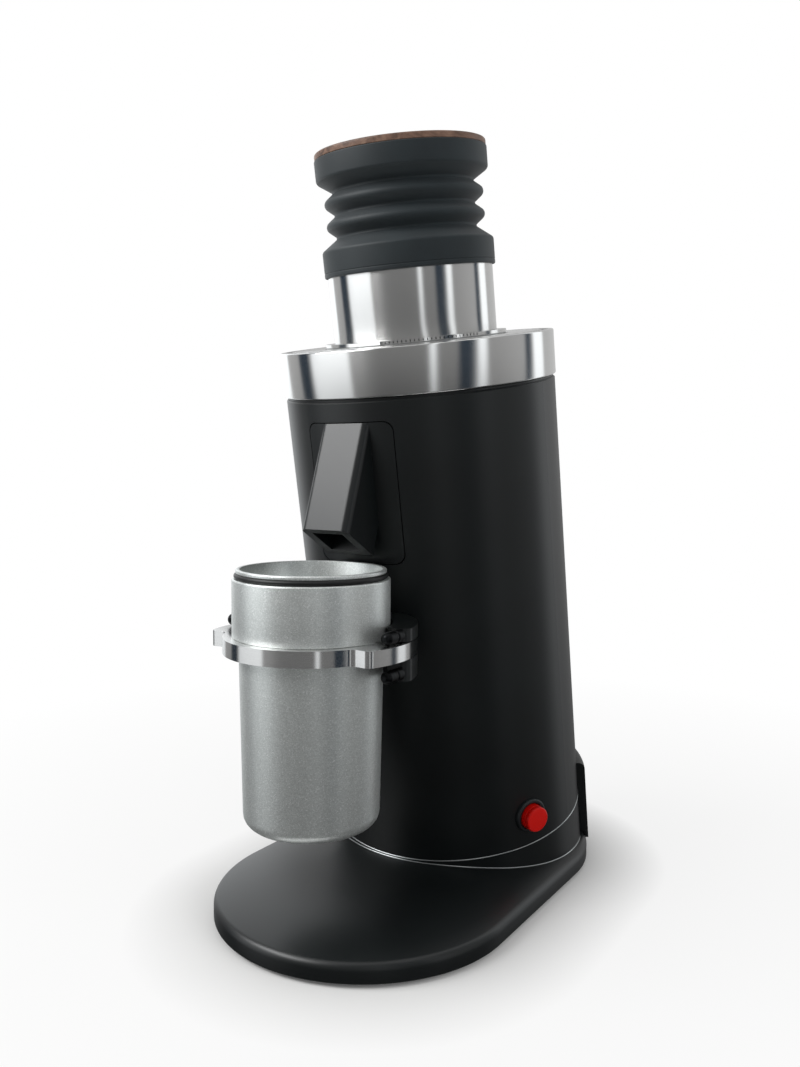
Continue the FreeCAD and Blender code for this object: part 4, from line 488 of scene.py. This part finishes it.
# button and bezel, turned about an axis that points out of the shell
button = {
    "angle": 64.0, "level": 14.0, "radius": 5.5, "stem": 2.4, "stemLow": 46.12, "capLow": 57.6,
    "face": 64.6, "groove": 62.29, "grooveDeep": 0.5, "grooveWide": 0.5, "grooveSlope": 0.1, "round": 1.0,
    "stemRound": 0.3, "grooveEdge": 0.15, "grooveRound": 0.1, "segments": 96,
}
buttonPlace = facingPlace(button["angle"], button["level"])
grooveFloor, grooveTop = button["radius"] - button["grooveDeep"], button["groove"] + button["grooveWide"]
buttonOutline = roundCorners([
    (0, button["stemLow"], 0), (button["stem"], button["stemLow"], button["stemRound"]),
    (button["stem"], button["capLow"], 0), (button["radius"], button["capLow"], filedEdge),
    (button["radius"], button["groove"], button["grooveEdge"]),
    (grooveFloor, button["groove"] + button["grooveSlope"], button["grooveRound"]),
    (grooveFloor, grooveTop - button["grooveSlope"], button["grooveRound"]),
    (button["radius"], grooveTop, button["grooveEdge"]), (button["radius"], button["face"], button["round"]),
    (0, button["face"], 0),
])
settle(turnPiece("power_button_moulded", buttonOutline, buttonPlace, redPlastic, button["segments"]),
       "button", "red_button", "power_button")
bezel = {"foot": 51.8, "low": 58.2, "top": 60.4, "bore": 5.8, "neck": 6.8, "radius": 7.5, "round": 0.8,
         "insideRound": 0.4, "segments": 96}
bezelOutline = roundCorners([
    (bezel["bore"], bezel["foot"], 0), (bezel["neck"], bezel["foot"], 0), (bezel["neck"], bezel["low"], 0),
    (bezel["radius"], bezel["low"], 0), (bezel["radius"], bezel["top"], bezel["round"]),
    (bezel["bore"], bezel["top"], bezel["insideRound"]),
])
settle(turnPiece("button_bezel_moulded", bezelOutline, buttonPlace, blackPlastic, bezel["segments"]),
       "stand", "black_plastic", "button_bezel")
print("button turned")

# coil springs under the burr carrier and behind the button, which close up as the joint moves
coils = [
    {"name": "carrier_spring_coils", "node": "carrier_springs", "body": "carrier", "place": leanPlace,
     "low": 183.9, "high": 189.3, "radius": 2.1, "wire": 0.6, "turns": 3.0,
     "seats": [(37.59, -21.7), (0, 43.4), (-37.59, -21.7)]},
    {"name": "button_spring_coil", "node": "button_spring", "body": "button", "place": buttonPlace,
     "low": 51.9, "high": 57.5, "radius": 3.95, "wire": 0.5, "turns": 4.14, "seats": [(0, 0)]},
]
# points on each turn of a coil and round a wire, and the angle over which a wire's edge stays sharp
wireDetail = {"turnPoints": 28, "sectionPoints": 10, "sharpAngle": 60.0}


def coilTree():
    # one coil of wire on each seat
    tree, given = startTree("coilOnSeats", "Seats", Turns="Float", Radius="Float", Height="Float",
                            Wire="Float")
    helix = addNode(tree, "GeometryNodeCurveSpiral", {
        "Resolution": wireDetail["turnPoints"], "Rotations": given["Turns"], "Start Radius": given["Radius"],
        "End Radius": given["Radius"], "Height": given["Height"]})
    section = addNode(tree, "GeometryNodeCurvePrimitiveCircle", {"Resolution": wireDetail["sectionPoints"],
                                                                 "Radius": given["Wire"]})
    coil = addNode(tree, "GeometryNodeCurveToMesh", {
        "Curve": helix.outputs["Curve"], "Profile Curve": section.outputs["Curve"], "Fill Caps": True})
    placed = addNode(tree, "GeometryNodeInstanceOnPoints", {"Points": given["Seats"],
                                                            "Instance": coil.outputs["Mesh"]})
    return endTree(tree, given, placed.outputs["Instances"])


coiling = coilTree()
for coil in coils:
    seatMesh = bpy.data.meshes.new(coil["name"])
    seatMesh.from_pydata([(x, y, coil["low"] + coil["wire"] / 2) for x, y in coil["seats"]], [], [])
    rise = coil["high"] - coil["low"] - coil["wire"]
    coilMesh = runTree(coiling, coil["name"], seatMesh, {
        "Turns": coil["turns"], "Radius": coil["radius"], "Height": rise, "Wire": coil["wire"] / 2,
        "Finish": plated})
    coilPiece = finishMesh(coil["name"], coilMesh, coil["place"], wireDetail["sharpAngle"])
    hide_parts(coil["node"])
    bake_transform(coilPiece)
print("springs coiled")

# foot plate: one crowned section carried round a stadium
foot = {
    "radius": 63.5, "nose": 75.8, "edge": 7.4, "crown": 14.0, "flat": 20.0, "round": 3.2, "underRound": 0.7,
    "crownStart": 2.2, "middle": 0.5, "arcSteps": 96, "crownSteps": 18, "cornerSteps": 8,
}


def crownLevel(f, reach):
    # height of the crown's arc at a distance from the plate's spine
    drop, width = f["crown"] - f["edge"], f["radius"] - f["flat"]
    bow = (width ** 2 + drop ** 2) / (2 * drop)
    return f["crown"] - bow + math.sqrt(bow ** 2 - max(reach - f["flat"], 0) ** 2)


def footProfile(f):
    # distance from the spine and height, from under the plate to the top of the crown
    crown = []
    outer = f["radius"] - f["round"] * f["crownStart"]
    for step in range(f["crownSteps"] + 1):
        reach = outer - (outer - f["flat"]) * step / f["crownSteps"]
        crown.append((reach, crownLevel(f, reach), 0))
    under = [(f["middle"], 0, 0), (f["radius"], 0, f["underRound"]), (f["radius"], f["edge"], f["round"])]
    return roundCorners(under + crown + [(f["middle"], f["crown"], 0)], f["cornerSteps"])


def stadiumPiece(name, f, place, finish):
    steps = f["arcSteps"]
    shape = bmesh.new()
    loops = []
    for radius, height in footProfile(f):
        loop = []
        for index in range(steps * 2):
            half = index // steps
            turn = math.pi * ((index % steps) / (steps - 1) + half)
            middle = -f["nose"] if half else 0
            spot = (radius * math.cos(turn), middle + radius * math.sin(turn), height)
            loop.append(shape.verts.new(spot))
        loops.append(loop)
    for lower, upper in zip(loops, loops[1:]):
        for index in range(len(lower)):
            after = (index + 1) % len(lower)
            shape.faces.new((lower[index], lower[after], upper[after], upper[index]))
    shape.faces.new(loops[0])
    shape.faces.new(loops[-1])
    mesh = bpy.data.meshes.new(name)
    shape.to_mesh(mesh)
    shape.free()
    mesh.materials.append(finish)
    return finishMesh(name, mesh, place)


settle(stadiumPiece("foot_plate_crowned", foot, footPlace, black), "stand", "black_anodised", "foot_plate")
print("foot plate made")

# bright beads where shell, plinth and foot meet: painted highlights, bright metal laid where light catches
# the chamfered seams
seam = {"bead": 0.3, "shellRadius": 58.9, "shellLevel": 0.3, "plinthRadius": 59.05, "points": 240,
        "solves": 12}


def beadTree():
    # a round bead along a line of points
    tree, given = startTree("beadAlongLine", "Line", Bead="Float")
    line = addNode(tree, "GeometryNodeMeshToCurve", {"Mesh": given["Line"]})
    section = addNode(tree, "GeometryNodeCurvePrimitiveCircle", {"Resolution": wireDetail["sectionPoints"],
                                                                 "Radius": given["Bead"]})
    swept = addNode(tree, "GeometryNodeCurveToMesh", {
        "Curve": line.outputs["Curve"], "Profile Curve": section.outputs["Curve"], "Fill Caps": True})
    return endTree(tree, given, swept.outputs["Mesh"])


def crownHeight(f, x, y):
    # height of the foot's crown over its underside, and None beyond its edge
    along = min(max(y, -f["nose"]), 0)
    reach = math.hypot(x, y - along)
    return crownLevel(f, reach) if reach <= f["radius"] - f["round"] else None


def shellLine(s):
    # the shell's lower rim
    line = []
    for step in range(s["points"]):
        turn = math.tau * step / s["points"]
        line.append((s["shellRadius"] * math.sin(turn), -s["shellRadius"] * math.cos(turn), s["shellLevel"]))
    return line


def plinthLine(s):
    # where the leaning plinth meets the crowned foot, in millimetres
    lean = math.radians(stance["lean"])
    line = []
    for step in range(s["points"] + 1):
        turn = math.tau * step / s["points"] - math.pi
        side, front = s["plinthRadius"] * math.sin(turn), -s["plinthRadius"] * math.cos(turn)
        level = 0.0
        for solve in range(s["solves"]):
            y = front * math.cos(lean) - level * math.sin(lean)
            height = crownHeight(foot, side, y)
            if height is None:
                break
            z = stance["rimHeight"] + front * math.sin(lean) + level * math.cos(lean)
            level += (height + stance["padStand"] - z) / math.cos(lean)
        if height is not None:
            line.append((side, front, level))
    return line


beads = beadTree()
# each bead is a painted highlight along a seam, not a cut in the finish
edges = [("shell_seam_highlight", shellLine(seam), True), ("plinth_seam_highlight", plinthLine(seam), False)]
for name, line, closed in edges:
    lineMesh = bpy.data.meshes.new(name)
    links = [(i, i + 1) for i in range(len(line) - 1)] + ([(len(line) - 1, 0)] if closed else [])
    lineMesh.from_pydata(line, links, [])
    beadMesh = runTree(beads, name, lineMesh, {"Bead": seam["bead"], "Finish": seamHighlightMetal})
    settle(finishMesh(name, beadMesh, leanPlace, wireDetail["sharpAngle"]), "stand", "bright_aluminium")
# the beads laid above are painted seam highlights
print("edges cut")

# graduations: round the dial's top face, longer every fifth, and on the scale disc's rim
graduations = [
    {"name": "dial_graduations", "body": "dial", "level": dial["top"], "Count": 60, "First": 0.0,
     "Step": 6.0, "Circle": 55.6, "Length": 2.2, "Longer": 1.7, "Width": 0.45, "Height": 0.06, "Every": 5.0},
    {"name": "disc_graduations", "body": "carrier", "level": 219.35, "Count": 25, "First": -79.0,
     "Step": 2.5, "Circle": 39.4, "Length": 0.1, "Longer": 1.0, "Width": 0.35, "Height": 0.95, "Every": 5.0},
]


def tickTree():
    # ticks at even steps round a circle, longer at every so many
    tree, given = startTree("graduations", "Geometry", Count="Int", First="Float", Step="Float",
                            Circle="Float", Length="Float", Longer="Float", Width="Float", Height="Float",
                            Every="Float")
    line = addNode(tree, "GeometryNodeMeshLine", {"Count": given["Count"]})
    index = addNode(tree, "GeometryNodeInputIndex")
    degrees = addNode(tree, "ShaderNodeMath", {0: index.outputs[0], 1: given["Step"], 2: given["First"]},
                      operation="MULTIPLY_ADD")
    turn = addNode(tree, "ShaderNodeMath", {0: degrees.outputs[0]}, operation="RADIANS")
    facing = addNode(tree, "ShaderNodeCombineXYZ", {"Z": turn.outputs[0]})
    arm = addNode(tree, "ShaderNodeCombineXYZ", {"X": given["Circle"]})
    spot = addNode(tree, "ShaderNodeVectorRotate", {"Vector": arm.outputs[0], "Angle": turn.outputs[0]},
                   rotation_type="Z_AXIS")
    spread = addNode(tree, "GeometryNodeSetPosition", {"Geometry": line.outputs["Mesh"],
                                                       "Position": spot.outputs[0]})
    size = addNode(tree, "ShaderNodeCombineXYZ", {"X": given["Length"], "Y": given["Width"],
                                                  "Z": given["Height"]})
    mark = addNode(tree, "GeometryNodeMeshCube", {"Size": size.outputs[0]})
    part = addNode(tree, "ShaderNodeMath", {0: index.outputs[0], 1: given["Every"]}, operation="MODULO")
    major = addNode(tree, "ShaderNodeMath", {0: part.outputs[0], 1: 0.5}, operation="LESS_THAN")
    stretch = addNode(tree, "ShaderNodeMapRange", {"Value": major.outputs[0], "To Min": 1.0,
                                                   "To Max": given["Longer"]})
    scale = addNode(tree, "ShaderNodeCombineXYZ", {"X": stretch.outputs["Result"], "Y": 1.0, "Z": 1.0})
    placed = addNode(tree, "GeometryNodeInstanceOnPoints", {
        "Points": spread.outputs["Geometry"], "Instance": mark.outputs["Mesh"],
        "Rotation": facing.outputs[0], "Scale": scale.outputs[0]})
    return endTree(tree, given, placed.outputs["Instances"])


marking = tickTree()
for scale in graduations:
    name = scale["name"]
    tickMesh = runTree(marking, name, bpy.data.meshes.new(name), {**scale, "Finish": blackSteel})
    tickPlace = leanPlace @ Matrix.Translation(Vector((0, 0, scale["level"])))
    settle(finishMesh(name, tickMesh, tickPlace), scale["body"], "fastener_steel")
print("graduations placed")

# floor: white to the camera, with the contact shadow left in near the object; metres from the foot's spine
floorLook = {"size": 8.0, "footBack": 0.0417, "footFront": -0.0341, "shadeNear": 0.062, "shadeMid": 0.1,
             "shadeFar": 0.4, "underShare": 0.05, "midShare": 0.82}
floorMesh = bpy.data.meshes.new("floor")
half = floorLook["size"] / 2
floorMesh.from_pydata([(-half, -half, 0), (half, -half, 0), (half, half, 0), (-half, half, 0)], [],
                      [(0, 1, 2, 3)])
floor = addObject("floor", floorMesh)
floor.visible_glossy = False
floorPaint = bpy.data.materials.new("matt white paint")
tree = bareTree(floorPaint)
matt = addNode(tree, "ShaderNodeBsdfDiffuse", {"Color": hexColor("#e9e9e8")})
glow = addNode(tree, "ShaderNodeEmission", {"Strength": 1.0})
seen = addNode(tree, "ShaderNodeLightPath")
place = addNode(tree, "ShaderNodeTexCoord")
spot = addNode(tree, "ShaderNodeSeparateXYZ", {"Vector": place.outputs["Object"]})
along = addNode(tree, "ShaderNodeClamp", {"Value": spot.outputs["Y"], "Min": floorLook["footFront"],
                                          "Max": floorLook["footBack"]})
spine = addNode(tree, "ShaderNodeCombineXYZ", {"Y": along.outputs[0]})
reach = addNode(tree, "ShaderNodeVectorMath", {0: place.outputs["Object"], 1: spine.outputs[0]},
                operation="DISTANCE")
nearShare = addNode(tree, "ShaderNodeMapRange", {
    "Value": reach.outputs["Value"], "From Min": floorLook["shadeNear"], "From Max": floorLook["shadeMid"],
    "To Min": floorLook["underShare"], "To Max": floorLook["midShare"]})
farShare = addNode(tree, "ShaderNodeMapRange", {
    "Value": reach.outputs["Value"], "From Min": floorLook["shadeMid"], "From Max": floorLook["shadeFar"],
    "To Max": 1 - floorLook["midShare"]})
whiter = addNode(tree, "ShaderNodeMath", {0: nearShare.outputs["Result"], 1: farShare.outputs["Result"]},
                 operation="ADD")
share = addNode(tree, "ShaderNodeMath", {0: seen.outputs["Is Camera Ray"], 1: whiter.outputs[0]},
                operation="MULTIPLY")
blend = addNode(tree, "ShaderNodeMixShader", {0: share.outputs[0], 1: matt.outputs[0], 2: glow.outputs[0]})
addNode(tree, "ShaderNodeOutputMaterial", {"Surface": blend.outputs[0]})
floorMesh.materials.append(floorPaint)

# round wall of studio cards that only reflections see
wallShape = {"radius": 1.7, "reach": 3.0, "steps": 128}
wallMesh = bpy.data.meshes.new("reflection_wall")
wallVerts, wallFaces = [], []
for step in range(wallShape["steps"]):
    turn = math.tau * step / wallShape["steps"]
    x, y = wallShape["radius"] * math.cos(turn), wallShape["radius"] * math.sin(turn)
    wallVerts += [(x, y, -wallShape["reach"]), (x, y, wallShape["reach"])]
    after = (step + 1) % wallShape["steps"]
    wallFaces.append((step * 2, after * 2, after * 2 + 1, step * 2 + 1))
wallMesh.from_pydata(wallVerts, [], wallFaces)
wall = addObject("reflection_wall", wallMesh)
for ray in ("camera", "diffuse", "shadow", "transmission", "volume_scatter"):
    setattr(wall, "visible_" + ray, False)
# cards by angle from the front towards +X: soft white boxes and dark flags before a grey surround
tones = {"white": hexColor("#f2f5f7"), "dark": hexColor("#28313b")}
softEdge = 3.0
cards = [(-132, -104, "white"), (-79, -68, "dark"), (-62, -26, "white"), (43, 45, "white"),
         (66, 76, "dark"), (82, 87, "white"), (130, 135, "dark"), (141, 154, "white")]
# the surround is darkest towards one angle, and the whole wall dims down to a dark bench
surround = {"towards": 20.0, "darkest": 0.17, "lightest": 0.38, "dimLow": -0.9, "dimHigh": 0.3,
            "dimmest": 0.1, "power": 1.5}
cardStops = []
for first, last, tone in cards:
    for degrees, cover in ((first - softEdge, 0.0), (first, 1.0), (last, 1.0), (last + softEdge, 0.0)):
        cardStops.append(((degrees + 180) / 360, tones[tone][:3] + (cover,)))
wallPaint = bpy.data.materials.new("soft boxes and flags")
tree = bareTree(wallPaint)
place = addNode(tree, "ShaderNodeTexCoord")
parts = addNode(tree, "ShaderNodeSeparateXYZ", {"Vector": place.outputs["Object"]})
ahead = addNode(tree, "ShaderNodeMath", {0: parts.outputs["Y"], 1: -1.0}, operation="MULTIPLY")
angle = addNode(tree, "ShaderNodeMath", {0: parts.outputs["X"], 1: ahead.outputs[0]}, operation="ARCTAN2")
turnShare = addNode(tree, "ShaderNodeMapRange", {"Value": angle.outputs[0], "From Min": -math.pi,
                                                 "From Max": math.pi})
cardRamp = addNode(tree, "ShaderNodeValToRGB", {"Fac": turnShare.outputs["Result"]})
setRamp(cardRamp, cardStops)
fromDark = addNode(tree, "ShaderNodeMath", {0: angle.outputs[0], 1: math.radians(surround["towards"])},
                   operation="SUBTRACT")
facing = addNode(tree, "ShaderNodeMath", {0: fromDark.outputs[0]}, operation="COSINE")
greyLevel = addNode(tree, "ShaderNodeMapRange", {
    "Value": facing.outputs[0], "From Min": 1.0, "From Max": -1.0, "To Min": surround["darkest"],
    "To Max": surround["lightest"]})
cardMix = addNode(tree, "ShaderNodeMixRGB", {
    "Fac": cardRamp.outputs["Alpha"], "Color1": greyLevel.outputs["Result"],
    "Color2": cardRamp.outputs["Color"]})
dimming = addNode(tree, "ShaderNodeMapRange", {
    "Value": parts.outputs["Z"], "From Min": surround["dimLow"], "From Max": surround["dimHigh"],
    "To Min": surround["dimmest"] * surround["power"], "To Max": surround["power"]})
glow = addNode(tree, "ShaderNodeEmission", {"Color": cardMix.outputs["Color"],
                                            "Strength": dimming.outputs["Result"]})
addNode(tree, "ShaderNodeOutputMaterial", {"Surface": glow.outputs[0]})
wallMesh.materials.append(wallPaint)

# white room, full where it is seen or mirrored and weaker as a light
room = {"asLight": 0.4, "asSeen": 1.0}
world = bpy.data.worlds.new("white studio")
bpy.context.scene.world = world
tree = bareTree(world)
seen = addNode(tree, "ShaderNodeLightPath")
glossOrView = addNode(tree, "ShaderNodeMath", {0: seen.outputs["Is Camera Ray"],
                                               1: seen.outputs["Is Glossy Ray"]}, operation="MAXIMUM")
direct = addNode(tree, "ShaderNodeMath", {0: glossOrView.outputs[0], 1: seen.outputs["Is Transmission Ray"]},
                 operation="MAXIMUM")
strength = addNode(tree, "ShaderNodeMapRange", {"Value": direct.outputs[0], "To Min": room["asLight"],
                                                "To Max": room["asSeen"]})
sky = addNode(tree, "ShaderNodeBackground", {"Color": (1, 1, 1, 1), "Strength": strength.outputs["Result"]})
addNode(tree, "ShaderNodeOutputWorld", {"Surface": sky.outputs[0]})

# lamps by angle from the front, rise, distance; only the soft box shows in reflections
lamps = [
    {"name": "soft box", "angle": -38, "rise": 36, "far": 1.25, "size": (0.95, 0.5), "power": 11.0,
     "shows": True},
    {"name": "fill", "angle": 80, "rise": 25, "far": 1.3, "size": (0.8, 0.8), "power": 5.0, "shows": False},
]
lampAim = Vector((0, 0, 0.16))
for lamp in lamps:
    light = bpy.data.lights.new(lamp["name"], "AREA")
    light.shape = "RECTANGLE"
    light.size, light.size_y = lamp["size"]
    light.energy = lamp["power"]
    holder = addObject(lamp["name"], light)
    turn, climb = math.radians(lamp["angle"]), math.radians(lamp["rise"])
    outward = Vector((math.sin(turn) * math.cos(climb), -math.cos(turn) * math.cos(climb), math.sin(climb)))
    holder.location = lampAim + outward * lamp["far"]
    holder.rotation_euler = (-outward).to_track_quat("-Z", "Y").to_euler()
    holder.visible_glossy = lamp["shows"]

# camera close to the object, a little above its middle and to the front right; focal length in frame pixels
view = {"azimuth": 33.0, "rise": 4.19, "roll": 0.36, "place": (220.44, -349.08, 186.97), "focal": 934.62,
        "frameHeight": 1067, "sensor": 36.0, "nearest": 0.01}
azimuth, rise, roll = (math.radians(view[key]) for key in ("azimuth", "rise", "roll"))
back = Vector((math.sin(azimuth) * math.cos(rise), -math.cos(azimuth) * math.cos(rise), math.sin(rise)))
right = Vector((math.cos(azimuth), math.sin(azimuth), 0))
up = back.cross(right)
tiltedRight = right * math.cos(roll) + up * math.sin(roll)
tiltedUp = up * math.cos(roll) - right * math.sin(roll)
cameraData = bpy.data.cameras.new("camera")
cameraData.sensor_fit = "VERTICAL"
cameraData.sensor_height = view["sensor"]
cameraData.lens = view["focal"] * view["sensor"] / view["frameHeight"]
cameraData.clip_start = view["nearest"]
camera = addObject("camera", cameraData)
turnMatrix = Matrix((tiltedRight, tiltedUp, back)).transposed().to_4x4()
camera.matrix_world = Matrix.Translation(Vector(view["place"]) * mm) @ turnMatrix
bpy.context.scene.camera = camera
bpy.context.scene.view_settings.view_transform = "Standard"
print("stage, lamps and camera set")
